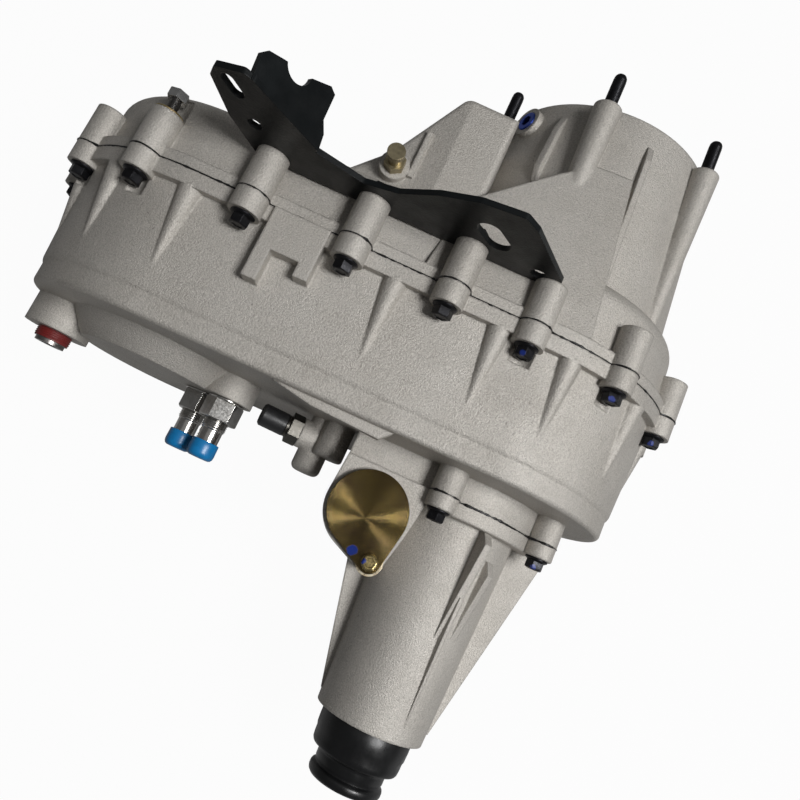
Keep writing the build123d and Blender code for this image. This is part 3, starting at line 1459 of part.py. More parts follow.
# Boot and seal at the end of the tail
boot_inner = 28.0
boot_profile = (
    (tail_end_x, 37.0), (tail_end_x - 20, 37.0), (tail_end_x - 23, 28.5), (tail_end_x - 29, 28.5),
    (tail_end_x - 31, 31.5), (tail_end_x - 38, 31.5), (tail_end_x - boot_length, 26.0),
    (tail_end_x - boot_length, 21.0), (tail_end_x - 33, 25.0), (tail_end_x - 20, 25.0),
    (tail_end_x - 17, boot_inner), (tail_end_x, boot_inner),
)
with BuildPart() as tail_boot:
    with BuildSketch(Plane.XZ) as boot_section:
        with BuildLine():
            Polyline(*boot_profile, close=True)
        make_face()
        fillet(boot_section.vertices().filter_by(lambda v: v.X < tail_end_x - 1 and v.Z > 26), radius=1.4)
    revolve(axis=Axis.X)
write(tail_boot.part, "tail_boot")
tail_seal = tube(tail_end_x + 13, tail_end_x + 1, tail_bore - 4 - 0.05, output_spline_radius + 5.0)
write(tail_seal, "tail_seal")
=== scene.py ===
"""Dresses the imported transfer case: finishes for every casting, shaft and fastener, and the
small pieces that are modelled here because they are all surface, such as boot and bolt heads."""

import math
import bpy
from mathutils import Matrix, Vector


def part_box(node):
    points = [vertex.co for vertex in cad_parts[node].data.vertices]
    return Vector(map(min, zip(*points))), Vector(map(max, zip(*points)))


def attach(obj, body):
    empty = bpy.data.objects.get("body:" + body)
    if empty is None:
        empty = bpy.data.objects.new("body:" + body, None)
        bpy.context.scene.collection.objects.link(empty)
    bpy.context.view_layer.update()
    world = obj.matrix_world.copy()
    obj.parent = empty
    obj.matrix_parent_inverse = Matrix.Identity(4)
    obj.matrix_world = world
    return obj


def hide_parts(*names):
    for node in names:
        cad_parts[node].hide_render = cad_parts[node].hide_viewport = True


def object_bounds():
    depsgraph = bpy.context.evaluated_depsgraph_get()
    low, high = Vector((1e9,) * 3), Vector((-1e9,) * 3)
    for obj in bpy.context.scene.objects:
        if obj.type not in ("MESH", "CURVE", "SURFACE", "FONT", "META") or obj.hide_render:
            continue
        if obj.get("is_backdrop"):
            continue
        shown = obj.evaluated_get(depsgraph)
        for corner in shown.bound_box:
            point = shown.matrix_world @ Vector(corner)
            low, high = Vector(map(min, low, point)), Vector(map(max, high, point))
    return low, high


bl_info = {
    "name": "Transfer Case Dressing",
    "version": (1, 0, 0),
    "blender": (4, 5, 0),
    "location": "View3D > Sidebar > Transfer Case",
    "description": "Finishes and small visible pieces of a transfer case",
    "category": "Object",
}

import bmesh
import bpy
from bpy.props import FloatProperty, FloatVectorProperty, PointerProperty
from mathutils import Matrix, Vector, noise as drift

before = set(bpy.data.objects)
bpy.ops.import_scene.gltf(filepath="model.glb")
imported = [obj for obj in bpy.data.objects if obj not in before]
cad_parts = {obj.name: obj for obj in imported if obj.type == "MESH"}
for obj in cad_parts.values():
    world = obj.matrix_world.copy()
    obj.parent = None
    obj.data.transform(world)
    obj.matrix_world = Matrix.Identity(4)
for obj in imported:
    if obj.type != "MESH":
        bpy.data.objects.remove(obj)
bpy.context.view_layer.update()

MILLIMETRE = 0.001
REARWARD = (-1.0, 0.0, 0.0)
FORWARD = (1.0, 0.0, 0.0)
UPWARD = (0.0, 0.0, 1.0)

# Places and sizes as in the case itself, in millimetres and degrees
AXLE_SPACING = 262.0
BOLT_CIRCLE = 117.0
TOP_BOLT_RISE = 5.0
BOTTOM_BOLT_DROP = 3.0
CASE_BOLT_SEAT = -211.25
CASE_SEAM = -196.0
FLANGE_RADIUS = 118.0
CASE_BOSS_RADIUS = 11.5
MAIN_BOLT_ANGLES = (82, 116, 155, 188, 222, 258)
LEFT_BOLT_ANGLES = (71, 39, 9, -21, -52, -82)
TOP_BOLT_SHARES = (0.29, 0.56, 0.84)
BOTTOM_BOLT_SHARES = (0.2, 0.5, 0.8)
TAIL_BOLT_CIRCLE = 71.0
TAIL_BOLT_ANGLES = (72, 152, 200, 248, 290, 328)
TAIL_BOLT_SEAT = -328.25
TAIL_SEAM = -317.0
TAIL_HUB_RADIUS = 62.0
TAIL_BOSS_RADIUS = 11.0
STUD_CIRCLE = 95.25
STUD_TURN = 74.1
STUD_COUNT = 6
STUD_RADIUS = 5.0
STUD_REACH = 24.4
STUD_SEAT = -7.0
STUD_COLLAR = 1.6
STUD_TIP_RUN = 4.0
JACK_SEAT = -165.75
TAIL_END = -485.0
FITTINGS = ((196.0, 24.0), (219.0, 5.0))
FITTING_SEAT = -316.0
FITTING_TURNS = (17.5, 47.5)
CAP_SEAT = -350.0
DRAIN = (342.0, 8.0)
DRAIN_SEAT = -321.0
PLUG_BOLT_SEAT = (-380.0, 51.0, 70.05)
TAIL_START_RADIUS = 50.0
TAIL_END_RADIUS = 42.0
LONG_RIB_ANGLES = (111.2, 116.5)
LONG_RIB_START = -370.0
LONG_RIB_TIP = -473.0
LONG_RIB_WIDTH = 6.0
LONG_RIB_HEIGHT = 6.8
LONG_RIB_SUNK = 2.0
BOLT_ACROSS = 12.0
JACK_ACROSS = 13.0
FITTING_ACROSS = 25.5
PLUG_BOLT_ACROSS = 10.0
FINE_PITCH = 1.25
FITTING_PITCH = 1.5
DRAIN_PITCH = 1.6
SEAT_GAP = 0.02

# Dabs of check paint, in millimetres: from a bolt's seat, and on the round plug and its bolt
BOLT_DAB = (-7.0, 1.5, 5.2)
BOLT_DAB_RADIUS = 4.2
DISC_DAB = (-377.6, 65.0, 70.0)
DISC_DAB_RADIUS = 6.2
PLUG_BOLT_DAB = (-380.6, 55.7, 76.5)

# Radius and height of each ring of a turned piece, in millimetres
BOOT_PROFILE = (
    (34.9, 0.3),
    (35.4, 1.2),
    (35.3, 9.0),
    (34.9, 15.0),
    (34.2, 17.0),
    (34.0, 22.0),
    (33.6, 25.0),
    (32.8, 26.4),
    (30.8, 27.3),
    (28.4, 27.8),
    (27.1, 28.8),
    (26.6, 30.6),
    (26.5, 35.6),
    (25.9, 36.3),
    (25.8, 38.2),
    (26.8, 39.0),
    (27.9, 39.7),
    (28.4, 41.0),
    (28.4, 43.4),
    (27.8, 45.2),
    (26.6, 46.4),
    (25.0, 46.8),
    (23.0, 46.6),
    (21.8, 45.4),
    (22.0, 38.0),
    (22.6, 31.0),
    (24.6, 25.0),
    (28.0, 18.0),
    (28.0, 0.3),
)
CAP_PROFILE = (
    (8.5, 1.0),
    (8.6, 0.2),
    (9.9, 0.1),
    (10.2, 0.5),
    (10.3, 4.0),
    (10.4, 9.0),
    (10.0, 11.2),
    (9.0, 12.7),
    (7.4, 13.4),
    (5.0, 13.5),
    (4.4, 13.2),
)
BOLT_FLANGE_PROFILE = ((8.2, 0.0), (8.6, 0.3), (8.6, 1.0), (8.3, 1.4), (7.2, 2.1), (6.6, 2.5))
WASHER_PROFILE = ((10.0, 0.02), (10.5, 0.4), (10.5, 1.4), (9.9, 1.9), (5.0, 1.9), (4.8, 1.2))
COLLAR_PROFILE = ((13.4, 0.02), (14.2, 0.4), (14.2, 1.2), (13.7, 1.7), (12.0, 1.8))
PLUG_FLANGE_PROFILE = ((5.5, 0.0), (5.8, 0.3), (5.8, 1.0), (5.2, 1.5), (4.6, 1.7))

# Camera sensor in millimetres, and sizes and places of floor and lamps in metres
SENSOR_WIDTH = 36.0
CLIP_START = 0.01
FLOOR_SIZE = 12.0
FLOOR_GLOW = 0.965
KEY_SIZE = 0.8
KEY_OFFSET = (-0.05, -1.35, 2.1)
FILL_SIZE = 1.2
FILL_OFFSET = (0.35, 0.3, 1.6)

# Sizes of the casting's patterns, depths of its relief and wander of the sealant, in metres
STAIN_SIZE = 0.09
CLOUD_SIZE = 0.02
CAST_LUMP_SIZE = 0.007
CAST_LUMP_DEPTH = 0.00018
CAST_GRAIN_DEPTH = 0.0006
PIT_SIZE = 0.0022
WANDER_DEPTH = 0.0005

# Points of a sealant bead along each straight or half round of its seam
BEAD_STATIONS = 150

# Faces of a hex that meet at less than this angle, in degrees, shade as one
HEX_SHADE_ANGLE = 28.0

# Colours that belong to one finish alone
WORN_BLACK = (0.05, 0.05, 0.055)
DARK_BRASS = (0.12, 0.084, 0.042)
ZINC_YELLOW = (0.5, 0.4, 0.18)

# Nodes by finish
CASE_CASTINGS = ("front_case", "rear_case")
BLACK_FASTENERS = ("bracket_screws", "retainer_screws", "lever_nut")
GROUND_STEEL = (
    "input_bearing",
    "main_bearing",
    "front_output_bearing",
    "front_output_rear_bearing",
    "shift_rail",
    "planet_pins",
)
GEAR_STEEL = (
    "input_gear",
    "annulus_gear",
    "planet_gear_1",
    "planet_gear_2",
    "planet_gear_3",
    "planet_gear_4",
    "planet_carrier",
    "main_shaft",
    "range_sleeve",
    "mode_sleeve",
    "drive_sprocket",
    "driven_sprocket",
    "front_output_shaft",
    "front_output_flange",
    "front_output_nut",
    "oil_pump_rotor",
)
FORGED_STEEL = ("range_fork", "mode_fork", "shift_sector")
SEALANT = ("case_sealant", "tail_sealant")
SEALS = ("input_seal", "tail_seal", "front_output_seal")


class TransferCaseStage(bpy.types.PropertyGroup):
    """Camera, floor and lights"""

    camera_place: FloatVectorProperty(
        name="Camera Place",
        description="Where the camera stands, from the centre of the stud circle",
        default=(-0.369, 0.07745, 0.5595),
        subtype="TRANSLATION",
        unit="LENGTH",
    )
    camera_turn: FloatProperty(
        name="Camera Turn",
        description="Turn of the camera about the upright, before its tilt",
        default=math.radians(-65.515),
        subtype="ANGLE",
    )
    camera_tilt: FloatProperty(
        name="Camera Tilt",
        description="Tilt of the camera from straight down, towards the tail",
        default=math.radians(-11.469),
        subtype="ANGLE",
    )
    camera_lens: FloatProperty(
        name="Lens",
        description="Focal length of the camera on a 36 mm sensor",
        default=31.94,
        subtype="DISTANCE_CAMERA",
    )
    floor_gap: FloatProperty(
        name="Floor Gap",
        description="Room between the floor and the lowest point of the case",
        default=0.002,
        subtype="DISTANCE",
    )
    floor_colour: FloatVectorProperty(
        name="Floor Colour",
        description="Colour of the pale floor",
        default=(0.32, 0.32, 0.32),
        subtype="COLOR",
    )
    key_power: FloatProperty(
        name="Key Light",
        description="Power of the large light beside the studs",
        default=60.0,
        subtype="POWER",
    )
    fill_power: FloatProperty(
        name="Fill Light",
        description="Power of the weak light above the case",
        default=0.8,
        subtype="POWER",
    )
    world_strength: FloatProperty(
        name="Surround", description="Strength of the even light all round", default=0.04, min=0.0
    )
    gloss_strength: FloatProperty(
        name="Gloss",
        description="Brightness of the pale surround in metal and gloss",
        default=0.12,
        min=0.0,
    )


class TransferCaseFinish(bpy.types.PropertyGroup):
    """Colours and grain of the finishes"""

    cast_colour: FloatVectorProperty(
        name="Casting",
        description="Colour of the blasted aluminium",
        default=(0.41, 0.39, 0.36),
        subtype="COLOR",
    )
    cast_stain: FloatVectorProperty(
        name="Casting Stain",
        description="Colour of the casting's stains",
        default=(0.27, 0.245, 0.21),
        subtype="COLOR",
    )
    cast_grain: FloatProperty(
        name="Casting Grain",
        description="Size of the blasted grain",
        default=0.0011,
        subtype="DISTANCE",
    )
    cast_edge: FloatProperty(
        name="Casting Edge",
        description="Radius at which cast edges look rounded",
        default=0.0022,
        subtype="DISTANCE",
    )
    black_colour: FloatVectorProperty(
        name="Black Oxide",
        description="Colour of the black fasteners",
        default=(0.012, 0.012, 0.014),
        subtype="COLOR",
    )
    paint_colour: FloatVectorProperty(
        name="Paint Mark",
        description="Colour of the check marks",
        default=(0.008, 0.025, 0.19),
        subtype="COLOR",
    )
    cap_colour: FloatVectorProperty(
        name="Caps",
        description="Colour of the fitting caps",
        default=(0.003, 0.15, 0.37),
        subtype="COLOR",
    )
    brass_colour: FloatVectorProperty(
        name="Brass",
        description="Colour of the turned brass",
        default=(0.2, 0.146, 0.054),
        subtype="COLOR",
    )


def new_material(name, colour, metallic, roughness):
    """A material with one shader."""
    material = bpy.data.materials.new(name)
    material.use_nodes = True
    shader = material.node_tree.nodes["Principled BSDF"]
    shader.inputs["Base Color"].default_value = (*colour, 1.0)
    shader.inputs["Metallic"].default_value = metallic
    shader.inputs["Roughness"].default_value = roughness
    return material


def add_node(material, kind, links=(), **settings):
    """A node with its settings. Links pair each input with a value or the output that feeds it."""
    node = material.node_tree.nodes.new(kind)
    for setting, value in settings.items():
        setattr(node, setting, value)
    for socket, source in links:
        if hasattr(source, "node"):
            material.node_tree.links.new(source, node.inputs[socket])
        else:
            node.inputs[socket].default_value = source
    return node


def shader_of(material):
    return material.node_tree.nodes["Principled BSDF"]


def feed(material, socket, source):
    material.node_tree.links.new(source, shader_of(material).inputs[socket])


def object_point(material):
    return add_node(material, "ShaderNodeTexCoord").outputs["Object"]


def noise(material, size, detail=4.0, roughness=0.55):
    """Noise whose lumps are about that many metres across."""
    links = [
        ("Vector", object_point(material)),
        ("Scale", 1.0 / size),
        ("Detail", detail),
        ("Roughness", roughness),
    ]
    return add_node(material, "ShaderNodeTexNoise", links).outputs["Fac"]


def ramp(material, source, low, high, start=0.0, end=1.0):
    """The source spread from start to end between its values low and high."""
    links = [
        ("Value", source),
        ("From Min", low),
        ("From Max", high),
        ("To Min", start),
        ("To Max", end),
    ]
    return add_node(material, "ShaderNodeMapRange", links).outputs["Result"]


def mix_colour(material, share, first, second):
    """The first colour where the share is 0, and the second where it is 1."""
    node = add_node(material, "ShaderNodeMix", data_type="RGBA")
    for socket, value in (("Factor", share), ("A", first), ("B", second)):
        inputs = [entry for entry in node.inputs if entry.name == socket and entry.enabled]
        if hasattr(value, "node"):
            material.node_tree.links.new(value, inputs[0])
        elif socket == "Factor":
            inputs[0].default_value = value
        else:
            inputs[0].default_value = (*value, 1.0)
    return [entry for entry in node.outputs if entry.enabled][0]


def combine(material, operation, first, second):
    """Two values put together by an operation, such as ADD."""
    links = [(0, first), (1, second)]
    return add_node(material, "ShaderNodeMath", links, operation=operation).outputs["Value"]


def bump(material, height, depth, normal=None):
    """A bump of that depth in metres over an earlier normal."""
    links = [("Height", height), ("Strength", 1.0), ("Distance", depth)]
    if normal is not None:
        links.append(("Normal", normal))
    return add_node(material, "ShaderNodeBump", links).outputs["Normal"]


def soft_edge(material, radius):
    """A normal that makes sharp edges look rounded."""
    return add_node(material, "ShaderNodeBevel", [("Radius", radius)], samples=4).outputs["Normal"]


def near_point(material, place, radius):
    """1 inside a ragged ball about a place, and 0 outside it."""
    links = [(0, object_point(material)), (1, place)]
    distance = add_node(material, "ShaderNodeVectorMath", links, operation="DISTANCE")
    edge = combine(material, "MULTIPLY", noise(material, radius, 2.0), radius * 0.9)
    ragged_distance = combine(material, "ADD", distance.outputs["Value"], edge)
    return ramp(material, ragged_distance, radius * 1.05, radius * 0.9)


def marked(material, places, radius, colour):
    """Dabs of paint over a finish, dull where the paint lies. The radius is in millimetres."""
    shader = shader_of(material)
    metal = shader.inputs["Metallic"].default_value
    covered = None
    for place in places:
        share = near_point(material, tuple(place), radius * MILLIMETRE)
        before = shader.inputs["Base Color"].links[0].from_socket
        feed(material, "Base Color", mix_colour(material, share, before, list(colour)))
        covered = share if covered is None else combine(material, "MAXIMUM", covered, share)
    feed(material, "Metallic", ramp(material, covered, 0.0, 1.0, metal, 0.0))


def cast_aluminium(name, finish, stain_share=0.5, light=1.0):
    """Blasted die casting: fine grain, shallow lumps, broad stains and a few pits."""
    colour = [channel * light for channel in finish.cast_colour]
    material = new_material(name, colour, 0.55, 0.5)
    broad = noise(material, STAIN_SIZE, 5.0, 0.6)
    stains = ramp(material, broad, 0.42, 0.72, 0.0, stain_share)
    stained = mix_colour(material, stains, colour, list(finish.cast_stain))
    grain = noise(material, finish.cast_grain, 3.0, 0.7)
    speck = ramp(material, grain, 0.38, 0.62, 0.0, 1.0)
    bright = [min(1.0, channel * 1.45) for channel in colour]
    speckled = mix_colour(material, combine(material, "MULTIPLY", speck, 0.7), stained, bright)
    pits = noise(material, PIT_SIZE, 2.0, 0.5)
    pit_share = ramp(material, pits, 0.24, 0.3, 0.6, 0.0)
    pitted = mix_colour(material, pit_share, speckled, [channel * 0.5 for channel in colour])
    feed(material, "Base Color", pitted)
    clouds = noise(material, CLOUD_SIZE, 3.0)
    feed(material, "Roughness", ramp(material, clouds, 0.3, 0.7, 0.5, 0.64))
    rounded = soft_edge(material, finish.cast_edge)
    lumps = bump(material, noise(material, CAST_LUMP_SIZE, 3.0), CAST_LUMP_DEPTH, rounded)
    feed(material, "Normal", bump(material, grain, CAST_GRAIN_DEPTH, lumps))
    return material


def black_oxide(name, finish):
    """Oiled black steel."""
    material = new_material(name, finish.black_colour, 0.75, 0.35)
    worn = ramp(material, noise(material, 0.004, 5.0, 0.7), 0.55, 0.75, 0.0, 0.5)
    colour = mix_colour(material, worn, list(finish.black_colour), WORN_BLACK)
    feed(material, "Base Color", colour)
    feed(material, "Roughness", ramp(material, noise(material, 0.002, 3.0), 0.3, 0.7, 0.28, 0.5))
    grain = noise(material, 0.0012, 3.0)
    feed(material, "Normal", bump(material, grain, 0.00008, soft_edge(material, 0.0005)))
    return material


def black_coat(name, colour, roughness):
    """Satin black coat with a slight orange-peel."""
    material = new_material(name, colour, 0.0, roughness)
    shader_of(material).inputs["Specular IOR Level"].default_value = 0.2
    dusty = ramp(material, noise(material, 0.03, 5.0, 0.65), 0.45, 0.75, 0.0, 0.5)
    lighter = [channel * 2.2 for channel in colour]
    feed(material, "Base Color", mix_colour(material, dusty, colour, lighter))
    rough = ramp(material, noise(material, 0.012, 3.0), 0.3, 0.7, roughness * 0.8, roughness * 1.25)
    feed(material, "Roughness", rough)
    peel = noise(material, 0.0018, 2.0)
    feed(material, "Normal", bump(material, peel, 0.00012, soft_edge(material, 0.0008)))
    return material


def bright_steel(name, colour, roughness, tint=None, edge=0.0005):
    """Plated or machined steel with fine tool lines and slight stains."""
    material = new_material(name, colour, 1.0, roughness)
    broad = ramp(material, noise(material, 0.008, 4.0, 0.6), 0.4, 0.7)
    stained = mix_colour(material, broad, colour, tint or [channel * 0.72 for channel in colour])
    feed(material, "Base Color", stained)
    clouds = noise(material, 0.0015, 4.0)
    rough = ramp(material, clouds, 0.3, 0.7, roughness * 0.75, roughness * 1.3)
    feed(material, "Roughness", rough)
    tool_lines = noise(material, 0.0006, 3.0)
    feed(material, "Normal", bump(material, tool_lines, 0.00003, soft_edge(material, edge)))
    return material


def ring_grooves(material, local, pitch):
    """Fine rings about the upright through a point's origin, as a turning tool leaves them."""
    links = [("Vector", local), ("Scale", 0.5 / pitch), ("Distortion", 0.4), ("Detail", 2.0)]
    settings = {"wave_type": "RINGS", "rings_direction": "Z"}
    return add_node(material, "ShaderNodeTexWave", links, **settings).outputs["Fac"]


def turned_brass(name, finish, centre, pitch):
    """Brass with rings turned about a centre, and gloss that follows them."""
    material = new_material(name, finish.brass_colour, 1.0, 0.32)
    shader_of(material).inputs["Anisotropic"].default_value = 0.85
    links = [("Vector", object_point(material)), ("Location", centre)]
    local = add_node(material, "ShaderNodeMapping", links, vector_type="TEXTURE").outputs["Vector"]
    rings = ring_grooves(material, local, pitch)
    broad = ramp(material, noise(material, 0.02, 4.0, 0.6), 0.4, 0.7)
    tinted = mix_colour(material, broad, list(finish.brass_colour), DARK_BRASS)
    feed(material, "Base Color", tinted)
    feed(material, "Roughness", ramp(material, rings, 0.0, 1.0, 0.15, 0.22))
    split = add_node(material, "ShaderNodeSeparateXYZ", [("Vector", local)])
    across = combine(material, "MULTIPLY", split.outputs["Y"], -1.0)
    links = [("X", across), ("Y", split.outputs["X"])]
    feed(material, "Tangent", add_node(material, "ShaderNodeCombineXYZ", links).outputs["Vector"])
    scratch = noise(material, 0.0012, 4.0, 0.7)
    grooved = bump(material, rings, 0.00006, soft_edge(material, 0.0006))
    feed(material, "Normal", bump(material, scratch, 0.00004, grooved))
    return material


def moulded(name, colour, roughness, depth=0.00008, specular=0.5):
    """Moulded plastic or rubber with a faint grain."""
    material = new_material(name, colour, 0.0, roughness)
    shader_of(material).inputs["Specular IOR Level"].default_value = specular
    dull = ramp(material, noise(material, 0.015, 5.0, 0.65), 0.4, 0.75, 0.0, 0.6)
    lighter = [min(1.0, channel * 1.6 + 0.001) for channel in colour]
    feed(material, "Base Color", mix_colour(material, dull, list(colour), lighter))
    rough = ramp(material, noise(material, 0.006, 3.0), 0.3, 0.7, roughness * 0.8, roughness * 1.2)
    feed(material, "Roughness", rough)
    grain = noise(material, 0.0011, 3.0)
    feed(material, "Normal", bump(material, grain, depth, soft_edge(material, 0.0006)))
    return material


def paint(nodes, material):
    """Gives a material to CAD nodes through their own slots."""
    for name in nodes:
        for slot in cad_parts[name].material_slots:
            slot.material = material


def on_ring(radius, angle, middle=0.0):
    """Where an angle lies on a ring about the main shaft, or about another axis to its left."""
    return (middle + radius * math.cos(math.radians(angle)), radius * math.sin(math.radians(angle)))


CASE_BOLTS = (
    [on_ring(BOLT_CIRCLE, angle) for angle in MAIN_BOLT_ANGLES]
    + [on_ring(BOLT_CIRCLE, angle, AXLE_SPACING) for angle in LEFT_BOLT_ANGLES]
    + [(AXLE_SPACING * share, BOLT_CIRCLE + TOP_BOLT_RISE) for share in TOP_BOLT_SHARES]
    + [(AXLE_SPACING * share, -BOLT_CIRCLE - BOTTOM_BOLT_DROP) for share in BOTTOM_BOLT_SHARES]
)
TAIL_BOLTS = [on_ring(TAIL_BOLT_CIRCLE, angle) for angle in TAIL_BOLT_ANGLES]
STUDS = [on_ring(STUD_CIRCLE, STUD_TURN + 360 / STUD_COUNT * k) for k in range(STUD_COUNT)]
JACK = CASE_BOLTS[len(MAIN_BOLT_ANGLES)]


def station(x, place):
    """A point in metres, from a station along the shaft and a place across it in millimetres."""
    return Vector((x, *place)) * MILLIMETRE


def turned(name, steps, vertices=40):
    """A round or polygonal piece about Z, drawn out ring by ring from its first disc."""
    radius, height = steps[0]
    bpy.ops.mesh.primitive_circle_add(
        vertices=vertices, radius=radius * MILLIMETRE, fill_type="NGON"
    )
    piece = bpy.context.object
    piece.name = name
    piece.data.name = name
    bpy.ops.object.mode_set(mode="EDIT")
    bpy.ops.mesh.select_all(action="SELECT")
    bpy.ops.transform.translate(value=(0.0, 0.0, height * MILLIMETRE))
    for next_radius, next_height in steps[1:]:
        rise = (next_height - height) * MILLIMETRE
        bpy.ops.mesh.extrude_region_move(TRANSFORM_OT_translate={"value": (0.0, 0.0, rise)})
        share = next_radius / radius
        bpy.ops.transform.resize(value=(share, share, 1.0), center_override=(0.0, 0.0, 0.0))
        radius, height = next_radius, next_height
    bpy.ops.mesh.select_all(action="SELECT")
    bpy.ops.mesh.normals_make_consistent(inside=False)
    bpy.ops.object.mode_set(mode="OBJECT")
    return piece


def opened(piece):
    """Turns a piece's first and last disc into one ring face, so that its bore runs through."""
    bpy.context.view_layer.objects.active = piece
    bpy.ops.object.mode_set(mode="EDIT")
    bpy.ops.mesh.select_all(action="DESELECT")
    mesh = bmesh.from_edit_mesh(piece.data)
    for face in mesh.faces:
        face.select_set(len(face.verts) > 4)
    bmesh.update_edit_mesh(piece.data)
    bpy.ops.mesh.delete(type="ONLY_FACE")
    bpy.ops.mesh.select_mode(type="EDGE")
    bpy.ops.mesh.select_non_manifold()
    bpy.ops.mesh.bridge_edge_loops()
    bpy.ops.mesh.select_all(action="SELECT")
    bpy.ops.mesh.normals_make_consistent(inside=False)
    bpy.ops.object.mode_set(mode="OBJECT")
    return piece


def pick(pieces):
    bpy.ops.object.select_all(action="DESELECT")
    for piece in pieces:
        piece.select_set(True)
    bpy.context.view_layer.objects.active = pieces[0]


def joined(pieces, name):
    """Several meshes as one piece."""
    pick(pieces)
    if len(pieces) > 1:
        bpy.ops.object.join()
    pieces[0].name = name
    return pieces[0]


def seated(piece, place, facing, spin=0.0):
    """Stands a piece that was made along Z on a place, with its top facing along a direction."""
    face = Vector(facing).to_track_quat("Z", "Y").to_matrix().to_4x4()
    piece.matrix_world = Matrix.Translation(place) @ face @ Matrix.Rotation(spin, 4, "Z")
    bpy.context.view_layer.update()
    pick([piece])
    bpy.ops.object.transform_apply(location=True, rotation=True, scale=True)
    return piece


def copied(piece):
    """A copy of a piece with its own mesh."""
    twin = piece.copy()
    twin.data = piece.data.copy()
    bpy.context.collection.objects.link(twin)
    return twin


def at_places(piece, places, facing, name, spin_step=37.0):
    """Copies of a piece at several places, joined into one, each turned another way."""
    twins = [copied(piece) for _ in places]
    for number, (twin, place) in enumerate(zip(twins, places)):
        seated(twin, place, facing, math.radians(spin_step * number))
    bpy.data.objects.remove(piece)
    return joined(twins, name)


def finished(piece, material, nodes=(), body="case", angle=35.0):
    """Shades a piece, gives it its finish, and lets it ride on its body."""
    pick([piece])
    bpy.ops.object.shade_smooth_by_angle(angle=math.radians(angle))
    piece.data.materials.clear()
    piece.data.materials.append(material)
    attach(piece, body)
    if nodes:
        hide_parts(*nodes)
    return piece


def tail_surface(x, angle):
    """A point in metres on the tail's cone, from a station and an angle."""
    share = (x - TAIL_BOLT_SEAT) / (TAIL_END - TAIL_BOLT_SEAT)
    radius = TAIL_START_RADIUS + (TAIL_END_RADIUS - TAIL_START_RADIUS) * share
    return station(x, on_ring(radius, angle))


def choose(piece, wanted):
    """Selects the corners of a piece in edit mode whose place is wanted."""
    mesh = bmesh.from_edit_mesh(piece.data)
    for corner in mesh.verts:
        corner.select_set(wanted(corner.co))
    mesh.select_flush_mode()
    bmesh.update_edit_mesh(piece.data)


def rib(name, start, tip, outward, width, height, sunk, tip_share=0.3, top_share=0.6):
    """A rib that falls from its high end to its tip, with its foot sunk into the casting."""
    length = (tip - start).length
    tall = height + sunk
    bpy.ops.object.select_all(action="DESELECT")
    bpy.ops.mesh.primitive_cube_add(size=1.0)
    piece = bpy.context.object
    piece.name = name
    bpy.ops.object.mode_set(mode="EDIT")
    bpy.ops.mesh.select_mode(type="VERT")
    bpy.ops.mesh.select_all(action="SELECT")
    bpy.ops.transform.resize(value=(length, width, tall), center_override=(0.0, 0.0, 0.0))
    bpy.ops.transform.translate(value=(length / 2, 0.0, tall / 2 - sunk))
    choose(piece, lambda place: place.x > length / 2)
    bpy.ops.transform.resize(
        value=(1.0, tip_share, 0.9 * sunk / tall), center_override=(length, 0.0, -sunk)
    )
    choose(piece, lambda place: place.x < length / 2 and place.z > 0.0)
    bpy.ops.transform.translate(value=(height, 0.0, 0.0))
    bpy.ops.transform.resize(value=(1.0, top_share, 1.0), center_override=(0.0, 0.0, 0.0))
    bpy.ops.object.mode_set(mode="OBJECT")
    along = (tip - start).normalized()
    across = outward.cross(along).normalized()
    turn = Matrix((along, across, along.cross(across))).transposed().to_4x4()
    piece.matrix_world = Matrix.Translation(start) @ turn
    bpy.context.view_layer.update()
    pick([piece])
    bpy.ops.object.transform_apply(location=True, rotation=True, scale=True)
    return piece


def hex_steps(across, low, high, dish=0.5):
    """Rings of a hex head with a chamfered, slightly dished top."""
    corner = across / 2 / math.cos(math.radians(30))
    return (
        (corner * 0.95, low),
        (corner, low + 0.4),
        (corner, high - 1.0),
        (corner * 0.95, high - 0.35),
        (corner * 0.83, high),
        (corner * 0.62, high),
        (corner * 0.55, high - dish),
    )


def thread_steps(radius, start, end, pitch, depth):
    """Rings of a thread, one crest for each pitch."""
    steps = []
    height = start
    while height + pitch < end:
        steps.append((radius - depth, height + pitch * 0.15))
        steps.append((radius, height + pitch * 0.5))
        steps.append((radius - depth, height + pitch * 0.85))
        height += pitch
    return steps


def flange_bolt(name):
    """Head of a flange bolt: round flange, hex and dished top."""
    flange = turned("flange", BOLT_FLANGE_PROFILE)
    head = turned("head", hex_steps(BOLT_ACROSS, 1.6, 8.5), 6)
    return joined([flange, head], name)


def bead(name, distance, directions, depth, thickness, seed):
    """A squeezed-out bead along a seam, whose edge lies as far out as distance says."""
    line = bpy.data.curves.new(name, "CURVE")
    line.dimensions = "3D"
    line.bevel_depth = thickness * MILLIMETRE
    line.bevel_resolution = 2
    spline = line.splines.new("POLY")
    spline.points.add(len(directions) - 1)
    spline.use_cyclic_u = True
    for point, (x, foot, out) in zip(spline.points, directions):
        reach = distance(foot, out) - depth
        place = station(x, foot + out * reach)
        wander = drift.noise(place * 90.0 + Vector((seed, 0.0, 0.0)))
        swell = drift.noise(place * 260.0 + Vector((0.0, seed, 0.0)))
        place.x += wander * WANDER_DEPTH
        point.co = (*place, 1.0)
        point.radius = max(0.3, 0.72 + 0.5 * wander + 0.7 * swell)
    piece = bpy.data.objects.new(name, line)
    bpy.context.collection.objects.link(piece)
    pick([piece])
    bpy.ops.object.convert(target="MESH")
    return bpy.context.object


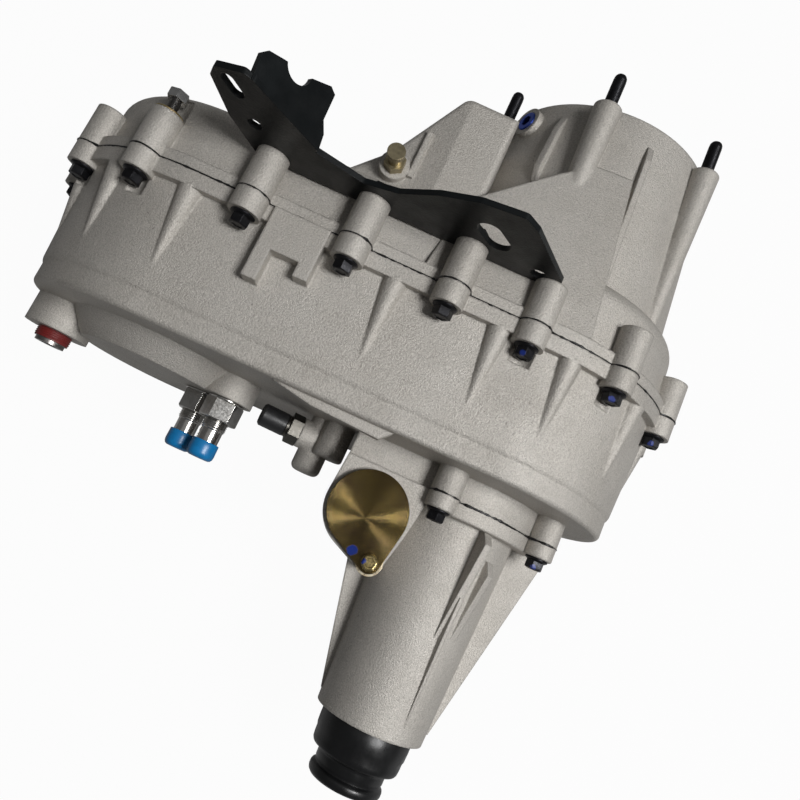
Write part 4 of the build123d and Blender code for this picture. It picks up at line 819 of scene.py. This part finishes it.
def edge_distance(radius, bosses, boss_radius):
    """How far the outline of a round flange with bosses lies from a foot, along a direction."""
    def reach(foot, out):
        result = radius
        for boss in bosses:
            gap = Vector(boss) - foot
            along = gap.dot(out)
            rest = boss_radius**2 - (gap.length_squared - along**2)
            if rest > 0 and along > 0:
                result = max(result, along + math.sqrt(rest))
        return result
    return reach


def ring_directions(x, foot, start, end, count):
    """Stations evenly spread over an arc, each with its foot point and outward direction."""
    result = []
    for k in range(count):
        angle = math.radians(start + (end - start) * k / count)
        result.append((x, Vector(foot), Vector((math.cos(angle), math.sin(angle)))))
    return result


def line_directions(x, start, end, side, count):
    """Stations evenly spread between two places on the axles' line, which all look to one side."""
    across = Vector((0.0, side))
    return [(x, Vector((start + (end - start) * k / count, 0.0)), across) for k in range(count)]


def node_middle(name):
    """The middle of a node's box, in metres."""
    low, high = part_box(name)
    return (low + high) / 2


class TRANSFERCASE_OT_stage(bpy.types.Operator):
    """Sets the camera, the pale floor and the soft lights"""

    bl_idname = "transfercase.stage"
    bl_label = "Stage"

    def execute(self, context):
        stage = context.scene.transfer_case_stage
        low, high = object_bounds()
        middle = (low + high) / 2
        bpy.ops.object.camera_add(location=stage.camera_place)
        camera = context.object
        camera.name = "camera"
        turn = Matrix.Rotation(stage.camera_turn, 4, "Z")
        tilt = Matrix.Rotation(stage.camera_tilt, 4, "Y")
        camera.matrix_world = Matrix.Translation(stage.camera_place) @ tilt @ turn
        camera.data.lens = stage.camera_lens
        camera.data.sensor_width = SENSOR_WIDTH
        camera.data.clip_start = CLIP_START
        context.scene.camera = camera

        floor_place = (middle.x, middle.y, low.z - stage.floor_gap)
        bpy.ops.mesh.primitive_plane_add(size=FLOOR_SIZE, location=floor_place)
        floor = context.object
        floor.name = "floor"
        bpy.ops.object.transform_apply(location=True)
        floor.data.materials.append(floor_finish(stage))
        floor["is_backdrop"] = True

        key_place = middle + Vector(KEY_OFFSET)
        fill_place = middle + Vector(FILL_OFFSET)
        self.light(context, "key_light", stage.key_power, KEY_SIZE, key_place, middle)
        self.light(context, "fill_light", stage.fill_power, FILL_SIZE, fill_place, middle)
        self.surround(context, stage)
        context.scene.view_settings.view_transform = "Standard"
        return {"FINISHED"}

    def light(self, context, name, power, size, place, target):
        bpy.ops.object.light_add(type="AREA", location=place)
        light = context.object
        light.name = name
        light.data.energy = power
        light.data.size = size
        light.rotation_mode = "QUATERNION"
        light.rotation_quaternion = (target - place).to_track_quat("-Z", "Y")

    def surround(self, context, stage):
        world = bpy.data.worlds.new("surround")
        world.use_nodes = True
        nodes = world.node_tree.nodes
        links = world.node_tree.links
        background = nodes["Background"]
        background.inputs["Color"].default_value = (1.0, 1.0, 1.0, 1.0)
        path = nodes.new("ShaderNodeLightPath")
        seen = nodes.new("ShaderNodeMath")
        seen.operation = "MAXIMUM"
        links.new(path.outputs["Is Camera Ray"], seen.inputs[0])
        links.new(path.outputs["Is Transmission Ray"], seen.inputs[1])
        gloss = nodes.new("ShaderNodeMapRange")
        gloss.inputs["To Min"].default_value = stage.world_strength
        gloss.inputs["To Max"].default_value = stage.gloss_strength
        links.new(path.outputs["Is Glossy Ray"], gloss.inputs["Value"])
        strength = nodes.new("ShaderNodeMapRange")
        strength.inputs["To Max"].default_value = 1.0
        links.new(gloss.outputs["Result"], strength.inputs["To Min"])
        links.new(seen.outputs["Value"], strength.inputs["Value"])
        links.new(strength.outputs["Result"], background.inputs["Strength"])
        context.scene.world = world


def floor_finish(stage):
    """Pale floor that looks white, and still takes the case's soft shadow."""
    material = bpy.data.materials.new("pale_floor")
    material.use_nodes = True
    nodes = material.node_tree.nodes
    links = material.node_tree.links
    nodes.clear()
    output = nodes.new("ShaderNodeOutputMaterial")
    matte = nodes.new("ShaderNodeBsdfDiffuse")
    matte.inputs["Color"].default_value = (*stage.floor_colour, 1.0)
    glow = nodes.new("ShaderNodeEmission")
    glow.inputs["Color"].default_value = (1.0, 1.0, 1.0, 1.0)
    glow.inputs["Strength"].default_value = 1.0
    path = nodes.new("ShaderNodeLightPath")
    share = nodes.new("ShaderNodeMath")
    share.operation = "MULTIPLY"
    share.inputs[1].default_value = FLOOR_GLOW
    links.new(path.outputs["Is Camera Ray"], share.inputs[0])
    gloss = nodes.new("ShaderNodeMath")
    gloss.operation = "MULTIPLY_ADD"
    gloss.inputs[1].default_value = stage.gloss_strength
    links.new(path.outputs["Is Glossy Ray"], gloss.inputs[0])
    links.new(share.outputs["Value"], gloss.inputs[2])
    blend = nodes.new("ShaderNodeMixShader")
    links.new(gloss.outputs["Value"], blend.inputs["Fac"])
    links.new(matte.outputs["BSDF"], blend.inputs[1])
    links.new(glow.outputs["Emission"], blend.inputs[2])
    links.new(blend.outputs["Shader"], output.inputs["Surface"])
    return material


class TRANSFERCASE_OT_castings(bpy.types.Operator):
    """Gives the castings their blasted aluminium"""

    bl_idname = "transfercase.castings"
    bl_label = "Castings"

    def execute(self, context):
        finish = context.scene.transfer_case_finish
        paint(CASE_CASTINGS, cast_aluminium("cast_case", finish, 0.55))
        paint(("tail_housing",), cast_aluminium("cast_tail", finish, 0.35, 1.05))
        paint(("oil_pump",), cast_aluminium("cast_pump", finish, 0.2, 0.9))
        return {"FINISHED"}


class TRANSFERCASE_OT_steel(bpy.types.Operator):
    """Gives shafts, gears, bearings and forks their steel"""

    bl_idname = "transfercase.steel"
    bl_label = "Steel Parts"

    def execute(self, context):
        paint(GEAR_STEEL, bright_steel("gear_steel", (0.33, 0.32, 0.31), 0.32))
        paint(GROUND_STEEL, bright_steel("ground_steel", (0.55, 0.55, 0.56), 0.18))
        paint(FORGED_STEEL, bright_steel("forged_steel", (0.12, 0.115, 0.11), 0.5, edge=0.001))
        paint(("drive_chain",), bright_steel("chain_steel", (0.2, 0.18, 0.15), 0.3))
        paint(("input_retainer",), black_coat("retainer_iron", (0.035, 0.034, 0.032), 0.45))
        return {"FINISHED"}


class TRANSFERCASE_OT_fasteners(bpy.types.Operator):
    """Gives screws, switch, clip and plugs their plating"""

    bl_idname = "transfercase.fasteners"
    bl_label = "Fasteners"

    def execute(self, context):
        finish = context.scene.transfer_case_finish
        paint(BLACK_FASTENERS, black_oxide("black_oxide", finish))
        paint(("indicator_switch",), bright_steel("dark_steel", (0.1, 0.095, 0.085), 0.35))
        paint(("plug_clip",), bright_steel("clip_zinc", (0.6, 0.55, 0.42), 0.3, (0.55, 0.42, 0.25)))
        paint(("pipe_plug",), bright_steel("marked_plug", (0.05, 0.09, 0.4), 0.4))
        paint(("drain_plug",), bright_steel("plug_steel", (0.3, 0.28, 0.27), 0.35))
        return {"FINISHED"}


class TRANSFERCASE_OT_brass(bpy.types.Operator):
    """Gives the round plug and the vent their brass"""

    bl_idname = "transfercase.brass"
    bl_label = "Brass"

    def execute(self, context):
        finish = context.scene.transfer_case_finish
        disc = turned_brass("turned_brass", finish, node_middle("speedometer_plug"), 0.0005)
        marked(disc, [Vector(DISC_DAB) * MILLIMETRE], DISC_DAB_RADIUS, finish.paint_colour)
        paint(("speedometer_plug",), disc)
        paint(("vent",), bright_steel("vent_brass", (0.36, 0.31, 0.2), 0.42))
        return {"FINISHED"}


class TRANSFERCASE_OT_plastic(bpy.types.Operator):
    """Gives connector, pickup, seals and sealant their moulded finish"""

    bl_idname = "transfercase.plastic"
    bl_label = "Plastic and Rubber"

    def execute(self, context):
        finish = context.scene.transfer_case_finish
        paint(("switch_connector",), moulded("connector_plastic", (0.013, 0.013, 0.014), 0.42))
        paint(("oil_pickup",), moulded("pickup_plastic", (0.03, 0.03, 0.03), 0.5))
        paint(SEALS, moulded("seal_rubber", (0.018, 0.018, 0.018), 0.5))
        paint(SEALANT, moulded("cured_sealant", (0.008, 0.008, 0.008), 0.35))
        return {"FINISHED"}


class TRANSFERCASE_OT_brackets(bpy.types.Operator):
    """Gives the bracket and the lever their satin black coat"""

    bl_idname = "transfercase.brackets"
    bl_label = "Bracket and Lever"

    def execute(self, context):
        paint(("bracket", "shift_lever"), black_coat("satin_black", (0.0045, 0.0055, 0.006), 0.36))
        return {"FINISHED"}


class TRANSFERCASE_OT_boot(bpy.types.Operator):
    """Models the rubber boot at the end of the tail"""

    bl_idname = "transfercase.boot"
    bl_label = "Rubber Boot"

    def execute(self, context):
        boot = opened(turned("boot", BOOT_PROFILE, 96))
        seated(boot, station(TAIL_END, (0.0, 0.0)), REARWARD)
        rubber = moulded("boot_rubber", (0.005, 0.0052, 0.0056), 0.34, 0.00005, 0.45)
        finished(boot, rubber, ("tail_boot",), angle=50.0)
        return {"FINISHED"}


class TRANSFERCASE_OT_bolts(bpy.types.Operator):
    """Models the flange bolts of the case and the tail housing"""

    bl_idname = "transfercase.bolts"
    bl_label = "Flange Bolts"

    def execute(self, context):
        finish = context.scene.transfer_case_finish
        case_seats = [station(CASE_BOLT_SEAT - SEAT_GAP, place) for place in CASE_BOLTS]
        tail_seats = [station(TAIL_BOLT_SEAT - SEAT_GAP, place) for place in TAIL_BOLTS]
        dab = Vector(BOLT_DAB) * MILLIMETRE
        dabs = [seat + dab for seat in (*case_seats[:3], tail_seats[1])]
        steel = black_oxide("bolt_black", finish)
        marked(steel, dabs, BOLT_DAB_RADIUS, finish.paint_colour)
        case_heads = at_places(flange_bolt("case_bolt"), case_seats, REARWARD, "case_bolt_heads")
        finished(case_heads, steel, ("case_bolts",), angle=HEX_SHADE_ANGLE)
        tail_head = flange_bolt("tail_bolt")
        tail_heads = at_places(tail_head, tail_seats, REARWARD, "tail_bolt_heads", 23.0)
        finished(tail_heads, steel, ("tail_bolts",), angle=HEX_SHADE_ANGLE)
        return {"FINISHED"}


class TRANSFERCASE_OT_studs(bpy.types.Operator):
    """Models the threaded studs of the mounting face"""

    bl_idname = "transfercase.studs"
    bl_label = "Studs"

    def execute(self, context):
        finish = context.scene.transfer_case_finish
        tip = STUD_REACH - STUD_SEAT
        collar = STUD_RADIUS + 0.4
        steps = [(collar, SEAT_GAP), (collar, STUD_COLLAR - 0.4), (STUD_RADIUS - 0.1, STUD_COLLAR)]
        steps += thread_steps(STUD_RADIUS, STUD_COLLAR, tip - STUD_TIP_RUN, FINE_PITCH, 0.35)
        steps += [
            (STUD_RADIUS - 0.15, tip - 3.8),
            (STUD_RADIUS - 0.3, tip - 2.6),
            (STUD_RADIUS - 1.1, tip - 1.1),
            (STUD_RADIUS - 2.4, tip - 0.2),
            (STUD_RADIUS - 3.6, tip),
        ]
        seats = [station(STUD_SEAT, place) for place in STUDS]
        studs = at_places(turned("stud", steps, 28), seats, FORWARD, "input_stud_threads")
        black = black_oxide("stud_black", finish)
        finished(studs, black, ("input_studs",), angle=40.0)
        return {"FINISHED"}


class TRANSFERCASE_OT_jack(bpy.types.Operator):
    """Models the jack bolt with its thread and yellow washer"""

    bl_idname = "transfercase.jack"
    bl_label = "Jack Bolt"

    def execute(self, context):
        seat = station(JACK_SEAT, JACK)
        washer = seated(turned("jack_washer", WASHER_PROFILE), seat, FORWARD)
        yellow = bright_steel("washer_zinc", ZINC_YELLOW, 0.32, (0.42, 0.3, 0.16))
        finished(washer, yellow, ("jack_bolt",))
        steps = [(3.9, 1.3), *thread_steps(4.0, 1.5, 12.0, FINE_PITCH, 0.6), (3.4, 12.3)]
        thread = seated(turned("jack_thread", steps, 28), seat, FORWARD)
        finished(thread, bright_steel("thread_steel", (0.16, 0.155, 0.15), 0.4))
        head = turned("jack_head", hex_steps(JACK_ACROSS, 12.0, 18.9, 0.7), 6)
        seated(head, seat, FORWARD, math.radians(14.0))
        zinc = bright_steel("zinc_steel", (0.66, 0.66, 0.65), 0.24)
        finished(head, zinc, angle=HEX_SHADE_ANGLE)
        return {"FINISHED"}


class TRANSFERCASE_OT_fittings(bpy.types.Operator):
    """Models the two hex fittings with their caps"""

    bl_idname = "transfercase.fittings"
    bl_label = "Fittings and Caps"

    def execute(self, context):
        finish = context.scene.transfer_case_finish
        pieces = []
        for place, turn in zip(FITTINGS, FITTING_TURNS):
            seat = station(FITTING_SEAT, place)
            pieces.append(seated(turned("collar", COLLAR_PROFILE, 48), seat, REARWARD))
            head = turned("fitting_hex", hex_steps(FITTING_ACROSS, 1.6, 17.4, 0.2), 6)
            pieces.append(seated(head, seat, REARWARD, math.radians(turn)))
            thread = thread_steps(9.6, 17.3, 24.4, FITTING_PITCH, 0.8)
            barrel = [(8.9, 16.0), *thread, (8.9, 24.0), (8.3, 24.6)]
            barrel += [(8.3, 43.4), (7.8, 43.6), (4.4, 43.6), (4.0, 43.0), (4.0, 12.0)]
            pieces.append(seated(turned("barrel", barrel, 40), seat, REARWARD))
        nickel = bright_steel("nickel_steel", (0.56, 0.55, 0.53), 0.2, (0.4, 0.385, 0.36))
        bodies = joined(pieces, "fitting_bodies")
        finished(bodies, nickel, ("cooler_fittings",), angle=HEX_SHADE_ANGLE)
        seats = [station(CAP_SEAT, place) for place in FITTINGS]
        caps = at_places(turned("fitting_cap", CAP_PROFILE, 48), seats, REARWARD, "fitting_caps")
        blue = moulded("cap_plastic", finish.cap_colour, 0.34, 0.00004, 0.6)
        finished(caps, blue, ("cooler_caps",), angle=50.0)
        return {"FINISHED"}


class TRANSFERCASE_OT_plugs(bpy.types.Operator):
    """Models the drain plug's sealed thread and the gold bolt of the round plug"""

    bl_idname = "transfercase.plugs"
    bl_label = "Plugs"

    def execute(self, context):
        finish = context.scene.transfer_case_finish
        steps = [(12.7, SEAT_GAP), *thread_steps(13.2, 0.1, 7.8, DRAIN_PITCH, 0.55)]
        steps += [(12.6, 7.9), (11.2, 8.0), (11.2, SEAT_GAP)]
        thread = opened(turned("drain_thread", steps, 56))
        seated(thread, station(DRAIN_SEAT, DRAIN), REARWARD)
        sealed = moulded("thread_sealant", (0.13, 0.011, 0.01), 0.5, 0.00015)
        finished(thread, sealed, angle=60.0)
        seat = Vector(PLUG_BOLT_SEAT) * MILLIMETRE
        flange = turned("plug_flange", PLUG_FLANGE_PROFILE)
        head = turned("plug_head", hex_steps(PLUG_BOLT_ACROSS, 1.2, 6.4, 0.6), 6)
        bolt = seated(joined([flange, head], "plug_bolt_head"), seat, UPWARD, math.radians(20.0))
        gold = bright_steel("yellow_zinc", ZINC_YELLOW, 0.25, (0.36, 0.28, 0.13))
        marked(gold, [Vector(PLUG_BOLT_DAB) * MILLIMETRE], BOLT_DAB_RADIUS, finish.paint_colour)
        finished(bolt, gold, ("plug_bolt",), angle=HEX_SHADE_ANGLE)
        return {"FINISHED"}


class TRANSFERCASE_OT_long_rib(bpy.types.Operator):
    """Models the long low rib that runs down the tail"""

    bl_idname = "transfercase.long_rib"
    bl_label = "Tail Rib"

    def execute(self, context):
        finish = context.scene.transfer_case_finish
        start = tail_surface(LONG_RIB_START, LONG_RIB_ANGLES[0])
        tip = tail_surface(LONG_RIB_TIP, LONG_RIB_ANGLES[1])
        outward = Vector((0.0, *on_ring(1.0, LONG_RIB_ANGLES[0])))
        size = [part * MILLIMETRE for part in (LONG_RIB_WIDTH, LONG_RIB_HEIGHT, LONG_RIB_SUNK)]
        piece = rib("tail_long_rib", start, tip, outward, *size)
        finished(piece, cast_aluminium("cast_rib", finish, 0.35, 1.05), angle=20.0)
        return {"FINISHED"}


class TRANSFERCASE_OT_beads(bpy.types.Operator):
    """Models the sealant squeezed out of the two seams"""

    bl_idname = "transfercase.beads"
    bl_label = "Sealant Beads"

    def execute(self, context):
        cured = moulded("bead_sealant", (0.006, 0.006, 0.006), 0.3)
        count = BEAD_STATIONS
        route = ring_directions(CASE_SEAM, (0.0, 0.0), 90.0, 270.0, count)
        route += line_directions(CASE_SEAM, 0.0, AXLE_SPACING, -1.0, count)
        route += ring_directions(CASE_SEAM, (AXLE_SPACING, 0.0), -90.0, 90.0, count)
        route += line_directions(CASE_SEAM, AXLE_SPACING, 0.0, 1.0, count)
        outline = edge_distance(FLANGE_RADIUS, CASE_BOLTS, CASE_BOSS_RADIUS)
        case_bead = bead("case_seam_bead", outline, route, depth=0.5, thickness=1.0, seed=3.0)
        finished(case_bead, cured, angle=60.0)
        round_seam = ring_directions(TAIL_SEAM, (0.0, 0.0), 0.0, 360.0, 2 * count)
        hub = edge_distance(TAIL_HUB_RADIUS, TAIL_BOLTS, TAIL_BOSS_RADIUS)
        tail_bead = bead("tail_seam_bead", hub, round_seam, depth=0.4, thickness=1.1, seed=8.0)
        finished(tail_bead, cured, angle=60.0)
        return {"FINISHED"}


class TRANSFERCASE_PT_pieces(bpy.types.Panel):
    """Lists the steps that dress the case"""

    bl_idname = "TRANSFERCASE_PT_pieces"
    bl_label = "Transfer Case"
    bl_space_type = "VIEW_3D"
    bl_region_type = "UI"
    bl_category = "Transfer Case"

    def draw(self, context):
        stage = context.scene.transfer_case_stage
        finish = context.scene.transfer_case_finish
        for settings in (stage, finish):
            box = self.layout.box()
            for name in settings.__annotations__:
                box.prop(settings, name)
        for step in STEPS:
            self.layout.operator(step.bl_idname)


STEPS = (
    TRANSFERCASE_OT_stage,
    TRANSFERCASE_OT_castings,
    TRANSFERCASE_OT_steel,
    TRANSFERCASE_OT_fasteners,
    TRANSFERCASE_OT_brass,
    TRANSFERCASE_OT_plastic,
    TRANSFERCASE_OT_brackets,
    TRANSFERCASE_OT_boot,
    TRANSFERCASE_OT_bolts,
    TRANSFERCASE_OT_studs,
    TRANSFERCASE_OT_jack,
    TRANSFERCASE_OT_fittings,
    TRANSFERCASE_OT_plugs,
    TRANSFERCASE_OT_long_rib,
    TRANSFERCASE_OT_beads,
)
CLASSES = (TransferCaseStage, TransferCaseFinish, *STEPS, TRANSFERCASE_PT_pieces)


def register():
    for entry in CLASSES:
        bpy.utils.register_class(entry)
    bpy.types.Scene.transfer_case_stage = PointerProperty(type=TransferCaseStage)
    bpy.types.Scene.transfer_case_finish = PointerProperty(type=TransferCaseFinish)


def unregister():
    del bpy.types.Scene.transfer_case_finish
    del bpy.types.Scene.transfer_case_stage
    for entry in reversed(CLASSES):
        bpy.utils.unregister_class(entry)


def main():
    register()
    bpy.ops.transfercase.stage()
    bpy.ops.transfercase.castings()
    bpy.ops.transfercase.steel()
    bpy.ops.transfercase.fasteners()
    bpy.ops.transfercase.brass()
    bpy.ops.transfercase.plastic()
    bpy.ops.transfercase.brackets()
    bpy.ops.transfercase.boot()
    bpy.ops.transfercase.bolts()
    bpy.ops.transfercase.studs()
    bpy.ops.transfercase.jack()
    bpy.ops.transfercase.fittings()
    bpy.ops.transfercase.plugs()
    bpy.ops.transfercase.long_rib()
    bpy.ops.transfercase.beads()


if __name__ == "__main__":
    main()
